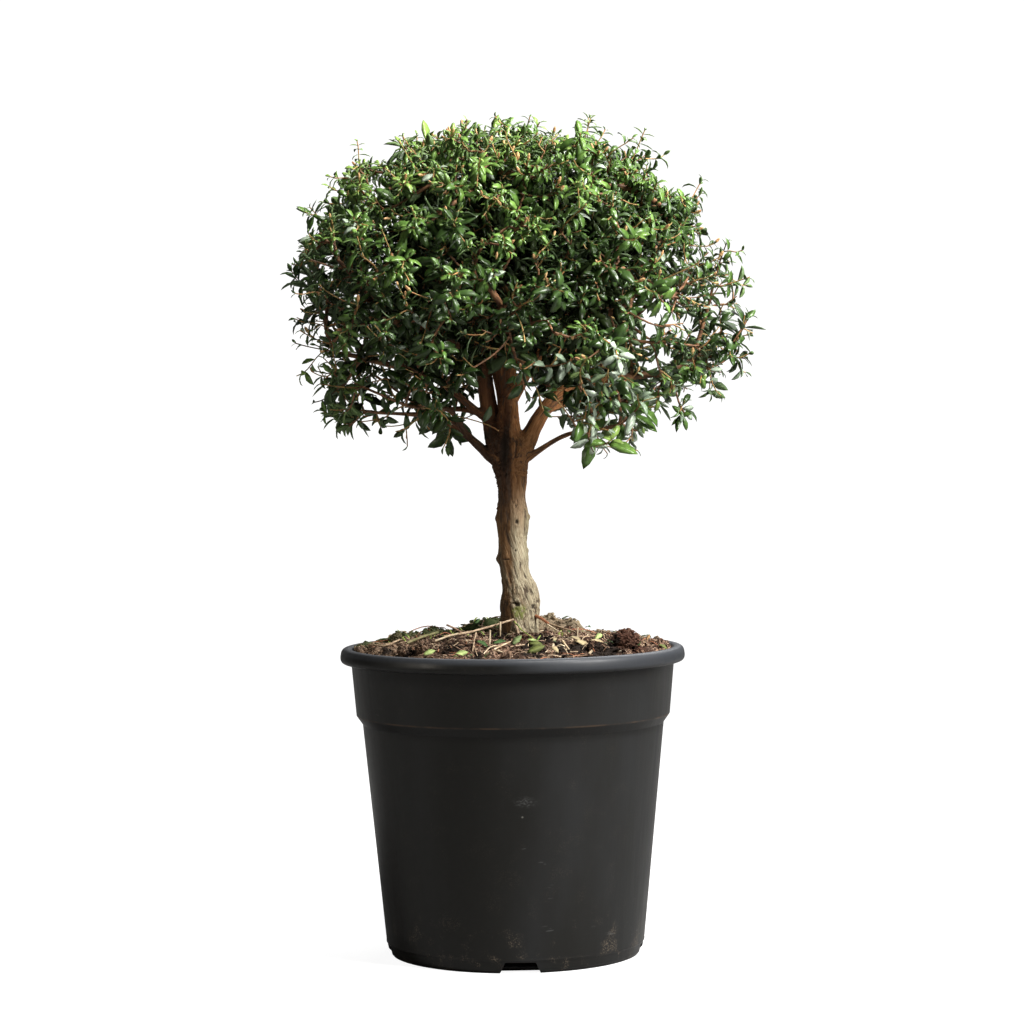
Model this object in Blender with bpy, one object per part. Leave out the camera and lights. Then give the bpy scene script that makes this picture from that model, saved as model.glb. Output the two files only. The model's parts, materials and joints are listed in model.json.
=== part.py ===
"""A myrtle grown as a small standard tree in a black nursery pot, at its real size in metres.

Frame: the origin is the middle of the pot's flat underside and +Z is up. The plant's front faces -Y,
so +X is its right-hand side and +Y its back.
"""

import math
from collections import namedtuple

import bmesh
import bpy
from mathutils import Matrix, Vector, kdtree, noise
from mathutils.bvhtree import BVHTree

# Clearances
GAP = 0.0003  # left between pieces that touch
CELL_GAP = 0.003  # left between two neighbouring masses of foliage

# Pot: a turned plastic container with a folded rim, a wide band under it and four drain notches
POT_SIDES = 40
POT_WALL = 0.002
POT_FLOOR = 0.003
RIM_RADIUS = 0.140
RIM_TOP = 0.2486
RIM_BOTTOM = 0.2365
RIM_ROUND = 0.0030
BAND_TOP_RADIUS = 0.1312
BAND_BOTTOM = 0.1940
BAND_BOTTOM_RADIUS = 0.1274
STEP_BOTTOM = 0.1870
STEP_RADIUS = 0.1224
FOOT_TOP = 0.0105
FOOT_TOP_RADIUS = 0.1050
FOOT_INSET = 0.0006
FOOT_CORNER = 0.0030
FOOT_RADIUS = 0.1038
NOTCH_ANGLES = (-88.0, -8.0, 90.0, 188.0)  # the first faces the front
NOTCH_HEIGHT = 0.0090
NOTCH_BOTTOM_WIDTH = 0.0320
NOTCH_TOP_WIDTH = 0.0240
NOTCH_INNER_RADIUS = 0.0880
NOTCH_OVERSHOOT = 0.002  # how far a notch's cutter reaches below the pot

# Soil: the root ball inside the pot, heaped up round the trunk
GROUND = 0.2590  # height of the soil at the foot of the trunk
FLAT_RADIUS = 0.0190  # the soil is flat this far out, under the trunk
SOIL_HEAP = ((0.0, 0.0), (0.0190, 0.0), (0.0400, 0.0002), (0.0620, -0.0014), (0.0840, -0.0040),
             (0.1060, -0.0075), (0.1220, -0.0100))  # radius, rise above GROUND
SOIL_EDGE_DROP = 0.0122
SOIL_SETTLING = 0.020  # the soil's lumps fade out over this far towards the trunk
SOIL_ROUGHNESS = 0.0035
SOIL_GRAIN = 0.020  # size of the soil's lumps and dips
Clod = namedtuple("Clod", "x y radius height")
CLODS = (Clod(0.097, -0.045, 0.019, 0.015), Clod(0.042, 0.050, 0.026, 0.014),
         Clod(0.012, 0.052, 0.030, 0.011), Clod(-0.022, 0.052, 0.032, 0.011),
         Clod(-0.056, 0.046, 0.026, 0.009), Clod(-0.090, 0.026, 0.024, 0.005),
         Clod(-0.048, -0.062, 0.018, 0.004))
CLOD_STEEPNESS = 1.6

# Trunk: height, sideways place and radius at each swelling and waist, from the ground to the fork
TRUNK_SIDES = 12
TRUNK = ((GROUND + GAP, 0.0056, 0.0160), (0.2690, 0.0058, 0.0154), (0.2816, 0.0060, 0.0163),
         (0.2925, 0.0064, 0.0150), (0.3036, 0.0037, 0.0122), (0.3130, 0.0024, 0.0118),
         (0.3207, 0.0019, 0.0126), (0.3320, 0.0015, 0.0114), (0.3525, 0.0014, 0.0134),
         (0.3695, 0.0005, 0.0110), (0.3850, 0.0004, 0.0124), (0.3980, -0.0004, 0.0146),
         (0.4090, -0.0006, 0.0166), (0.4180, -0.0008, 0.0138))
ROOT_FLARE = 0.07  # how far the roots' ridges stand out at the ground, as a share of the radius
ROOT_RIDGES = 5

# Limbs. Each grows from a parent, at a share of the parent's length, to its tip. Its first stretch, the
# collar, is fused to the parent, and the rest is its own solid. Azimuth 0 is +X and 270 the front.
Limb = namedtuple("Limb", "name parent at start tip leave arrive radii collar bend")
LIMBS = (
    Limb("stem_left", "trunk", 0.90, (-0.006, 0.004), (-0.056, 0.010, 0.583), (176, 70), (172, 52),
         (0.0074, 0.0042), 0.052, 0.38),
    Limb("stem_centre", "trunk", 0.86, (0.0, -0.003), (-0.010, 0.004, 0.612), (200, 89), (150, 84),
         (0.0086, 0.0040), 0.052, 0.33),
    Limb("bough_right", "trunk", 0.86, (0.004, -0.002), (0.087, -0.006, 0.466), (356, 63), (356, 4),
         (0.0068, 0.0038), 0.034, 0.50),
    Limb("bough_left_low", "trunk", 0.86, (-0.008, 0.0), (-0.0730, -0.008, 0.4375), (180, 40), (188, 2),
         (0.0038, 0.0026), 0.022, 0.36),
    Limb("bough_right_low", "trunk", 0.86, (0.004, -0.002), (0.0560, -0.022, 0.4225), (345, 26), (338, 6),
         (0.0028, 0.0019), 0.017, 0.33),
    Limb("bough_back", "trunk", 0.90, (0.0, 0.004), (-0.030, 0.074, 0.5050), (95, 52), (112, 6),
         (0.0060, 0.0034), 0.026, 0.40),
    Limb("bough_left", "stem_left", 0.16, (0.0, 0.0), (-0.0740, -0.004, 0.4720), (186, 30), (180, 14),
         (0.0034, 0.0026), 0.014, 0.33),
    Limb("bough_front_left", "stem_left", 0.36, (0.0, 0.0), (-0.0640, -0.0560, 0.5060), (226, 30), (222, 6),
         (0.0036, 0.0026), 0.012, 0.33),
    Limb("bough_upper_front", "stem_left", 0.62, (0.0, 0.0), (-0.0180, -0.0540, 0.5840), (268, 40), (252, 44),
         (0.0036, 0.0026), 0.010, 0.33),
    Limb("bough_front_right", "stem_centre", 0.26, (0.0, 0.0), (0.0560, -0.0620, 0.5100), (316, 34), (312, 8),
         (0.0036, 0.0026), 0.014, 0.33),
    Limb("bough_front", "stem_centre", 0.40, (0.0, 0.0), (-0.0040, -0.0800, 0.5160), (262, 40), (268, 4),
         (0.0036, 0.0026), 0.013, 0.33),
    Limb("bough_upper_right", "stem_centre", 0.52, (0.0, 0.0), (0.0480, -0.0260, 0.5840), (330, 42), (324, 44),
         (0.0038, 0.0026), 0.012, 0.33),
    Limb("bough_upper_right_back", "stem_centre", 0.60, (0.0, 0.0), (0.0430, 0.0350, 0.5850), (40, 38),
         (36, 44), (0.0036, 0.0026), 0.011, 0.33),
    Limb("bough_upper_back", "stem_centre", 0.74, (0.0, 0.0), (-0.0200, 0.0540, 0.5860), (108, 24), (108, 44),
         (0.0034, 0.0026), 0.010, 0.33),
    Limb("bough_back_right", "bough_back", 0.30, (0.0, 0.0), (0.0420, 0.0660, 0.5050), (40, 46), (58, 6),
         (0.0038, 0.0028), 0.012, 0.33),
    Limb("bough_back_low", "bough_back", 0.22, (0.0, 0.0), (-0.0440, 0.0520, 0.4420), (140, 20), (126, -2),
         (0.0032, 0.0024), 0.014, 0.33),
    Limb("bough_right_back_low", "bough_right", 0.44, (0.0, 0.0), (0.0640, 0.0380, 0.4480), (50, 6), (28, -2),
         (0.0034, 0.0024), 0.011, 0.33),
    Limb("bough_front_low", "bough_left_low", 0.42, (0.0, 0.0), (-0.0540, -0.0480, 0.4420), (240, 20),
         (226, 2), (0.0026, 0.0020), 0.008, 0.33),
)
THICK_LIMB = 0.005  # a limb thicker than this gets more sides
THICK_SIDES = 8
THIN_SIDES = 6
LIMB_BERTH = 0.011  # leaves and twigs keep this far from the middle of a limb
LIMB_STATIONS = 7
COLLAR_STATIONS = 4
CURVE_STEPS = 40

# Crown: its outline is a radius on the left and on the right at each height, rounded off all round
CROWN_CENTRE = Vector((0.006, 0.0, 0.530))
CROWN_OUTLINE = ((0.3960, 0.086, 0.098), (0.4150, 0.128, 0.112), (0.4350, 0.144, 0.142),
                 (0.4600, 0.172, 0.172), (0.4900, 0.177, 0.196), (0.5150, 0.178, 0.200),
                 (0.5600, 0.179, 0.187), (0.5900, 0.165, 0.177), (0.6150, 0.149, 0.164),
                 (0.6350, 0.136, 0.138), (0.6520, 0.114, 0.116), (0.6640, 0.074, 0.086),
                 (0.6740, 0.030, 0.040), (0.6760, 0.0, 0.0))  # height, left radius, right radius
LOBES = 0.035  # how far the outline swells and dips round the crown, as a share of its radius

# Masses of foliage. Those marked dense have a core that fills the inner part of their space.
Mass = namedtuple("Mass", "name limb dense")
MASSES = (
    Mass("foliage_top", "stem_centre", True),
    Mass("foliage_upper_left", "stem_left", True),
    Mass("foliage_upper_front", "bough_upper_front", True),
    Mass("foliage_upper_right", "bough_upper_right", True),
    Mass("foliage_upper_right_back", "bough_upper_right_back", True),
    Mass("foliage_upper_back", "bough_upper_back", True),
    Mass("foliage_left", "bough_left", True),
    Mass("foliage_front_left", "bough_front_left", True),
    Mass("foliage_front", "bough_front", True),
    Mass("foliage_front_right", "bough_front_right", True),
    Mass("foliage_right", "bough_right", True),
    Mass("foliage_back_right", "bough_back_right", True),
    Mass("foliage_back", "bough_back", True),
    Mass("foliage_left_low", "bough_left_low", False),
    Mass("foliage_front_low", "bough_front_low", False),
    Mass("foliage_right_low", "bough_right_low", False),
    Mass("foliage_right_back_low", "bough_right_back_low", False),
    Mass("foliage_back_low", "bough_back_low", False),
)
MASS_DEPTH = 0.42  # a mass's middle, as a share of the way from its bough's tip to the outline
CORE_RADIUS = 0.050  # the most that a core measures from its middle
CORE_DEPTH = 0.042  # a core stays this far inside the outline
CORE_SIDES = 9
CORE_RINGS = 6
TWIG_COUNT = 108
TWIG_DEPTHS = (0.018, 0.030)  # the twigs' tips lie between these depths inside the outline
LOWEST_TWIG = -0.80  # sine of the steepest way down that a twig's tip lies, from the crown's middle
TWIG_ROOT_RADIUS = 0.0020
TWIG_TIP_RADIUS = 0.0012
TWIG_BERTH = 0.016  # twigs' tips keep this far from the next mass's space
STEM_JOINTS = (0.35, 0.7, 1.0)  # where twigs may start along their mass's stem
TWIG_JOINTS = (0.3, 0.55)  # where other twigs may start along a twig
PATH_WEIGHT = 0.35  # how much a twig dislikes starting far from its mass's stem
LONG_SHOOTS = ((-0.037, 0.0, 0.684), (-0.090, -0.02, 0.671), (0.016, 0.02, 0.679), (0.119, 0.0, 0.654),
               (0.166, 0.0, 0.620), (0.188, 0.0, 0.579), (0.205, 0.0, 0.514), (0.183, 0.0, 0.466),
               (-0.172, 0.0, 0.586), (-0.184, 0.0, 0.495), (-0.168, 0.0, 0.444), (-0.142, 0.0, 0.422),
               (-0.089, -0.02, 0.404), (0.083, -0.03, 0.396), (0.109, -0.02, 0.399))  # their leaf tips
LEAF_LENGTH = 0.036
LEAF_WIDTH = 0.0170
LEAF_THICKNESS = 0.0014
LEAF_HEART = 0.45  # where a leaf is widest, as a share of its length
LEAF_VARIATION = 0.25  # how much the leaves differ in size
LEAF_DROOP = 0.12  # how far a leaf's tip hangs, as a share of its length
LEAF_SPREAD = math.radians(50)  # angle of a leaf to its twig
LEAF_PAIRS = (0.006, 0.015)  # distances of the pairs of leaves from their twig's tip
SMALL_LEAF = 0.7  # size of a leaf where the full size has no room
TIP_LEAF = 0.75  # size of the leaf at a twig's tip, against the others
LEAF_OVERHANG = 0.010  # how far a leaf may stand out of the outline


def clear_scene():
    for old in list(bpy.data.objects):
        bpy.data.objects.remove(old, do_unlink=True)


def material(name, colour, roughness, metallic=0.0):
    made = bpy.data.materials.new(name)
    made.use_nodes = True
    shader = made.node_tree.nodes["Principled BSDF"]
    shader.inputs["Base Color"].default_value = (*colour, 1.0)
    shader.inputs["Roughness"].default_value = roughness
    shader.inputs["Metallic"].default_value = metallic
    return made


def add_object(name, shape, finish):
    """Links a bmesh or mesh as a named object with one material, and returns it."""
    mesh = shape
    if isinstance(shape, bmesh.types.BMesh):
        mesh = bpy.data.meshes.new(name)
        shape.to_mesh(mesh)
        shape.free()
    obj = bpy.data.objects.new(name, mesh)
    if finish:
        mesh.materials.append(finish)
    bpy.context.scene.collection.objects.link(obj)
    return obj


def turned(outline, sides):
    """A closed body turned about the Z axis from (radius, height) points that start and end on it."""
    shape = bmesh.new()
    points = [shape.verts.new((radius, 0.0, height)) for radius, height in outline]
    edges = [shape.edges.new(pair) for pair in zip(points, points[1:])]
    bmesh.ops.spin(shape, geom=points + edges, cent=(0, 0, 0), axis=(0, 0, 1), angle=2 * math.pi,
                   steps=sides, use_merge=True)
    bmesh.ops.remove_doubles(shape, verts=shape.verts, dist=1e-6)
    bmesh.ops.recalc_face_normals(shape, faces=shape.faces)
    return shape


def smooth(obj, angle=math.radians(35)):
    obj.data.shade_smooth()
    obj.data.set_sharp_from_angle(angle=angle)


def wall_radius(height):
    """Outer radius of the pot's wall, from its foot up to the underside of its rim."""
    stations = ((0.0, FOOT_RADIUS), (FOOT_TOP, FOOT_TOP_RADIUS), (STEP_BOTTOM, STEP_RADIUS),
                (BAND_BOTTOM, BAND_BOTTOM_RADIUS), (RIM_BOTTOM, BAND_TOP_RADIUS))
    return interpolate(stations, height, 1)


def interpolate(rows, at, column):
    """The value in a column of rows, whose first column rises, at a value of that first column."""
    for low, high in zip(rows, rows[1:]):
        if at <= high[0]:
            share = min(max((at - low[0]) / (high[0] - low[0]), 0.0), 1.0)
            return low[column] + share * (high[column] - low[column])
    return rows[-1][column]


def pot_outline():
    """The pot's section: up the outside, over the folded rim, and down the inside to the floor."""
    lip_inside = RIM_RADIUS - POT_WALL
    lip_ceiling = RIM_TOP - 1.5 * POT_WALL
    outside = [(0.0, 0.0), (FOOT_RADIUS - FOOT_CORNER, 0.0), (FOOT_RADIUS - FOOT_INSET, FOOT_CORNER),
               (FOOT_TOP_RADIUS - FOOT_INSET, FOOT_TOP - FOOT_INSET), (FOOT_TOP_RADIUS, FOOT_TOP),
               (STEP_RADIUS, STEP_BOTTOM), (BAND_BOTTOM_RADIUS, BAND_BOTTOM), (BAND_TOP_RADIUS, RIM_BOTTOM)]
    rim = [(BAND_TOP_RADIUS, lip_ceiling), (lip_inside, lip_ceiling), (lip_inside, RIM_BOTTOM),
           (RIM_RADIUS, RIM_BOTTOM), (RIM_RADIUS, RIM_TOP - 2 * RIM_ROUND),
           (RIM_RADIUS - 0.3 * RIM_ROUND, RIM_TOP - 0.6 * RIM_ROUND), (RIM_RADIUS - RIM_ROUND, RIM_TOP),
           (BAND_TOP_RADIUS - POT_WALL, RIM_TOP)]
    inside = [(BAND_TOP_RADIUS - POT_WALL, RIM_BOTTOM), (BAND_BOTTOM_RADIUS - POT_WALL, BAND_BOTTOM),
              (STEP_RADIUS - POT_WALL, STEP_BOTTOM),
              (wall_radius(POT_FLOOR) - POT_WALL, POT_FLOOR), (0.0, POT_FLOOR)]
    return outside + rim + inside


def notch_cutter(angle):
    """A wedge-sided block that cuts one drain notch through the pot's lower corner."""
    shape = bmesh.new()
    rings = []
    splay = (NOTCH_BOTTOM_WIDTH - NOTCH_TOP_WIDTH) / NOTCH_HEIGHT
    for radius in (NOTCH_INNER_RADIUS, RIM_RADIUS):
        bottom = (NOTCH_BOTTOM_WIDTH + splay * NOTCH_OVERSHOOT) / 2
        corners = ((-bottom, -NOTCH_OVERSHOOT), (bottom, -NOTCH_OVERSHOOT), (NOTCH_TOP_WIDTH / 2, NOTCH_HEIGHT),
                   (-NOTCH_TOP_WIDTH / 2, NOTCH_HEIGHT))
        rings.append([shape.verts.new((radius, across, height)) for across, height in corners])
    shape.faces.new(rings[0])
    shape.faces.new(rings[1])
    for i in range(4):
        shape.faces.new((rings[0][i], rings[0][i - 1], rings[1][i - 1], rings[1][i]))
    bmesh.ops.recalc_face_normals(shape, faces=shape.faces)
    cutter = add_object(f"notch_cutter_{angle:.0f}", shape, None)
    cutter.rotation_euler.z = math.radians(angle)
    cutter.hide_render = True
    cutter.display_type = "WIRE"
    return cutter


def build_pot():
    plastic = material("black_plastic", (0.018, 0.019, 0.020), 0.42)
    pot = add_object("pot", turned(pot_outline(), POT_SIDES), plastic)
    for angle in NOTCH_ANGLES:
        cut = pot.modifiers.new("drain notch", "BOOLEAN")
        cut.operation = "DIFFERENCE"
        cut.object = notch_cutter(angle)
    smooth(pot)


def soil_height(x, y):
    """Height of the uneven soil at a place inside the pot's rim, clods included."""
    radius = math.hypot(x, y)
    level = GROUND + interpolate(SOIL_HEAP, radius, 1)
    fade = min(max((radius - FLAT_RADIUS) / SOIL_SETTLING, 0.0), 1.0)
    lumps = noise.noise(Vector((x, y, 0.37)) / SOIL_GRAIN) * SOIL_ROUGHNESS
    for clod in CLODS:
        near = 1.0 - math.hypot(x - clod.x, y - clod.y) / clod.radius
        lumps += clod.height * min(1.0, CLOD_STEEPNESS * max(near, 0.0))
    return level + fade * lumps


def build_soil():
    earth = material("soil", (0.052, 0.030, 0.019), 0.95)
    fit = POT_WALL + GAP
    edge = GROUND - SOIL_EDGE_DROP
    sides = [(0.0, POT_FLOOR + GAP), (wall_radius(POT_FLOOR) - fit, POT_FLOOR + GAP),
             (STEP_RADIUS - fit, STEP_BOTTOM), (BAND_BOTTOM_RADIUS - fit, BAND_BOTTOM + GAP),
             (wall_radius(RIM_BOTTOM) - fit, RIM_BOTTOM), (wall_radius(RIM_BOTTOM) - fit, edge)]
    top = [(radius, GROUND + drop) for radius, drop in reversed(SOIL_HEAP)]
    shape = turned(sides + top, POT_SIDES)
    for vertex in shape.verts:
        if vertex.co.z > edge + 1e-5:
            vertex.co.z = soil_height(vertex.co.x, vertex.co.y)
    add_object("soil", shape, earth)


def heading(azimuth, elevation):
    """The unit vector that points that way."""
    a, e = math.radians(azimuth), math.radians(elevation)
    return Vector((math.cos(a) * math.cos(e), math.sin(a) * math.cos(e), math.sin(e)))


def trunk_line():
    """The trunk's centreline and radii."""
    return [Vector((x, 0.0, z)) for z, x, _ in TRUNK], [radius for _, _, radius in TRUNK]


def line_length(line):
    return sum((b - a).length for a, b in zip(line, line[1:]))


def point_along(line, share):
    """The point at a share of a polyline's length."""
    lengths = [(b - a).length for a, b in zip(line, line[1:])]
    left = share * sum(lengths)
    for start, end, length in zip(line, line[1:], lengths):
        if left <= length:
            return start.lerp(end, left / length)
        left -= length
    return line[-1].copy()


def limb_line(limb, parent_line):
    """Points along a limb, from inside its parent to its tip, on one cubic curve."""
    start = point_along(parent_line, limb.at) + Vector((*limb.start, 0.0))
    tip = Vector(limb.tip)
    handle = (tip - start).length * limb.bend
    handles = start + heading(*limb.leave) * handle, tip - heading(*limb.arrive) * handle
    points = []
    for i in range(CURVE_STEPS + 1):
        t = i / CURVE_STEPS
        s = 1 - t
        points.append(s**3 * start + 3 * s * s * t * handles[0] + 3 * s * t * t * handles[1] + t**3 * tip)
    return points


def tube(centres, radii, sides, first_way=None, last_way=None, ridge=None):
    """A tapering limb with flat ends, through rings of the given radii. The ends face along their ways."""
    ways = []
    for i, centre in enumerate(centres):
        before, after = centres[max(i - 1, 0)], centres[min(i + 1, len(centres) - 1)]
        ways.append((after - before).normalized())
    ways[0] = first_way or ways[0]
    ways[-1] = last_way or ways[-1]
    side = ways[0].orthogonal().normalized()
    shape = bmesh.new()
    rings = []
    for i, (centre, radius, way) in enumerate(zip(centres, radii, ways)):
        side = (side - way * side.dot(way)).normalized()
        other = way.cross(side)
        ring = []
        for k in range(sides):
            angle = 2 * math.pi * k / sides
            swell = ridge(i, angle) if ridge else 1.0
            spoke = side * math.cos(angle) + other * math.sin(angle)
            ring.append(shape.verts.new(centre + spoke * radius * swell))
        rings.append(ring)
    shape.faces.new(list(reversed(rings[0])))
    shape.faces.new(rings[-1])
    for low, high in zip(rings, rings[1:]):
        for k in range(sides):
            shape.faces.new((low[k], low[(k + 1) % sides], high[(k + 1) % sides], high[k]))
    return shape


def limb_stretch(limb, line, begin, end, stations):
    """The limb's solid between two distances along it, with the same section wherever it is cut."""
    total = line_length(line)
    sides = THICK_SIDES if limb.radii[0] > THICK_LIMB else THIN_SIDES
    centres, radii = [], []
    for i in range(stations):
        share = (begin + (end - begin) * i / (stations - 1)) / total
        centres.append(point_along(line, share))
        radii.append(limb.radii[0] + (limb.radii[1] - limb.radii[0]) * share)
    step = 0.5e-3 / total
    ways = [(point_along(line, min(share + step, 1)) - point_along(line, max(share - step, 0))).normalized()
            for share in (begin / total, end / total)]
    return tube(centres, radii, sides, *ways)


def fuse(name, shapes, finish, solver="EXACT"):
    """One object that is the union of closed shapes, made by one Boolean on a collection of them."""
    body = add_object(name, shapes[0], finish)
    if len(shapes) == 1:
        return body
    group = bpy.data.collections.new(name + "_pieces")
    bpy.context.scene.collection.children.link(group)
    for i, shape in enumerate(shapes[1:]):
        piece = add_object(f"{name}_piece_{i}", shape, None)
        bpy.context.scene.collection.objects.unlink(piece)
        group.objects.link(piece)
    union = body.modifiers.new("fuse", "BOOLEAN")
    union.operation = "UNION"
    union.operand_type = "COLLECTION"
    union.collection = group
    union.solver = solver
    graph = bpy.context.evaluated_depsgraph_get()
    fused = bpy.data.meshes.new_from_object(body.evaluated_get(graph))
    body.modifiers.clear()
    old = body.data
    body.data = fused
    bpy.data.meshes.remove(old)
    for piece in list(group.objects):
        bpy.data.objects.remove(piece, do_unlink=True)
    bpy.data.collections.remove(group)
    keep_outer_body(body.data)
    return body


def keep_outer_body(mesh):
    """Drops loose scraps and fills sealed hollows, by keeping only the widest closed surface."""
    shape = bmesh.new()
    shape.from_mesh(mesh)
    shape.verts.ensure_lookup_table()
    seen, islands = set(), []
    for first in shape.verts:
        if first in seen:
            continue
        island, edge = {first}, [first]
        while edge:
            for link in edge.pop().link_edges:
                for vertex in link.verts:
                    if vertex not in island:
                        island.add(vertex)
                        edge.append(vertex)
        seen |= island
        islands.append(island)
    islands.sort(key=len)
    for island in islands[:-1]:
        bmesh.ops.delete(shape, geom=list(island), context="VERTS")
    shape.to_mesh(mesh)
    shape.free()


def build_limbs():
    """Makes the trunk and every limb, each fused with its children's collars, and returns their lines."""
    bark = material("bark", (0.17, 0.09, 0.05), 0.85)
    trunk_centres, trunk_radii = trunk_line()
    lines = {"trunk": trunk_centres}
    for limb in LIMBS:
        lines[limb.name] = limb_line(limb, lines[limb.parent])

    def roots(ring, angle):
        flare = max(0.0, 1.0 - ring / 3.0)
        return 1.0 + ROOT_FLARE * flare * math.cos(ROOT_RIDGES * angle + 0.6)

    def holder(limb):
        """What a limb's collar is fused to: its parent, or what that grows from where the limb starts on
        its parent's own collar."""
        parent = next((other for other in LIMBS if other.name == limb.parent), None)
        if parent and limb.at * line_length(lines[parent.name]) < parent.collar:
            return parent.parent
        return limb.parent

    def collars(name):
        return [limb_stretch(limb, lines[limb.name], 0.0, limb.collar, COLLAR_STATIONS)
                for limb in LIMBS if holder(limb) == name]

    up = Vector((0, 0, 1))
    body = tube(trunk_centres, trunk_radii, TRUNK_SIDES, up, up, roots)
    smooth(fuse("trunk", [body, *collars("trunk")], bark))
    for limb in LIMBS:
        line = lines[limb.name]
        body = limb_stretch(limb, line, limb.collar + GAP, line_length(line), LIMB_STATIONS)
        smooth(fuse(limb.name, [body, *collars(limb.name)], bark))
    return lines


def crown_radius(azimuth, height):
    """How far the crown's outline is from the plant's axis, that way and at that height."""
    if not CROWN_OUTLINE[0][0] <= height <= CROWN_OUTLINE[-1][0]:
        return 0.0
    left, right = (interpolate(CROWN_OUTLINE, height, column) for column in (1, 2))
    share = (1 + math.cos(azimuth)) / 2
    swell = math.sin(azimuth) ** 2 * (math.sin(5 * azimuth + 1.1) + math.sin(3 * azimuth + 60 * height)) / 2
    return (left + share * (right - left)) * (1 + LOBES * swell)


def reach(start, way):
    """How far the crown's outline is from a point inside it, along a unit vector."""
    step = 0.002
    distance = step
    while distance < 0.5:
        point = start + way * distance
        if math.hypot(point.x, point.y) > crown_radius(math.atan2(point.y, point.x), point.z):
            break
        distance += step
    return distance - step / 2


def inside_crown(point, overhang):
    """Whether a point is within the crown's outline, or no further outside it than the overhang."""
    out = point - CROWN_CENTRE
    near = CROWN_CENTRE + out * max(0.0, 1 - overhang / out.length)
    return math.hypot(near.x, near.y) <= crown_radius(math.atan2(near.y, near.x), near.z)


class Cell:
    """The space of one mass: nearer to its middle than to any other, and beyond its bough's tip."""

    def __init__(self, mass, line):
        self.mass = mass
        self.tip = line[-1]
        self.way = (line[-1] - line[-2]).normalized()
        self.middle = self.tip + self.way * MASS_DEPTH * reach(self.tip, self.way)
        self.planes = [(self.tip, -self.way, 5 * GAP)]

    def fence(self, others):
        """Sets the flat sides that part this space from the spaces of the others."""
        for other in others:
            if other is not self:
                normal = (other.middle - self.middle).normalized()
                self.planes.append(((self.middle + other.middle) / 2, normal, CELL_GAP / 2))

    def holds(self, points):
        return all((p - at).dot(normal) < -margin for p in points for at, normal, margin in self.planes)

    def draw_in(self, point):
        """The point, moved off the flat sides where it is near them, so that leaves round it have room."""
        for at, normal, _ in self.planes:
            short = TWIG_BERTH - (at - point).dot(normal)
            if short > 0:
                point = point - normal * short
        return point

    def room(self, way):
        """How far the mass's core may reach from its middle along a unit vector."""
        far = min(CORE_RADIUS, max(reach(self.middle, way) - CORE_DEPTH, 0.008))
        for at, normal, margin in self.planes:
            closing = way.dot(normal)
            if closing > 1e-6:
                far = min(far, ((at - self.middle).dot(normal) - margin) / closing)
        return far


def core_shape(cell):
    """A faceted core that fills the inner part of a dense mass's space."""
    shape = bmesh.new()
    bmesh.ops.create_uvsphere(shape, u_segments=CORE_SIDES, v_segments=CORE_RINGS, radius=1.0)
    for vertex in shape.verts:
        way = vertex.co.normalized()
        vertex.co = cell.middle + way * cell.room(way)
    return shape


def leaf_shape(root, way, face, size):
    """A leaf pointed at both ends, raised along its middle on the upper side, which looks along face."""
    across = way.cross(face).normalized()
    up = across.cross(way).normalized()
    length = LEAF_LENGTH * size
    heart = root + way * LEAF_HEART * length
    half_width = across * LEAF_WIDTH * size / 2
    tip = root + way * length - up * LEAF_DROOP * length
    shape = bmesh.new()
    back, right, front, left, ridge = (shape.verts.new(point) for point in (
        root, heart + half_width, tip, heart - half_width,
        heart + up * LEAF_THICKNESS))
    for first, second in ((back, right), (right, front), (front, left), (left, back)):
        shape.faces.new((first, second, ridge))
    shape.faces.new((back, left, right))
    shape.faces.new((front, right, left))
    bmesh.ops.recalc_face_normals(shape, faces=shape.faces)
    return shape


def twig_targets(cells):
    """Where the twigs' tips go: spread evenly inside the outline, with the long shoots of the crown's
    edge. Each goes to the mass whose space it is in."""
    turn = math.pi * (3 - math.sqrt(5))
    tips = []
    for end in map(Vector, LONG_SHOOTS):
        tips.append(end + (CROWN_CENTRE - end).normalized() * LEAF_LENGTH * TIP_LEAF)
    for i in range(TWIG_COUNT):
        rise = 1 - (1 - LOWEST_TWIG) * (i + 0.5) / TWIG_COUNT
        flat = math.sqrt(1 - rise * rise)
        way = Vector((flat * math.cos(i * turn), flat * math.sin(i * turn), rise))
        share = abs(noise.noise(way * 3.1))
        depth = TWIG_DEPTHS[0] + share * (TWIG_DEPTHS[1] - TWIG_DEPTHS[0])
        tips.append(CROWN_CENTRE + way * (reach(CROWN_CENTRE, way) - depth))
    shared = {cell.mass.name: [] for cell in cells}
    for tip in tips:
        nearest = min(cells, key=lambda cell: (cell.middle - tip).length)
        shared[nearest.mass.name].append(nearest.draw_in(tip))
    return shared


def grow_twigs(root, middle, targets):
    """Twigs that branch from one stem. Nearest first, each target is joined to the point of the twigs so
    far that gives the shortest way, counting part of the way back to the root."""
    stem = [root.lerp(middle, share) for share in STEM_JOINTS]
    joints = [(point, (point - root).length) for point in stem]
    twigs = []
    for target in sorted(targets, key=lambda point: (point - root).length):
        start, path = min(joints, key=lambda joint: (target - joint[0]).length + PATH_WEIGHT * joint[1])
        twigs.append((start, target))
        for share in TWIG_JOINTS:
            joints.append((start.lerp(target, share), path + share * (target - start).length))
    return twigs


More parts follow.
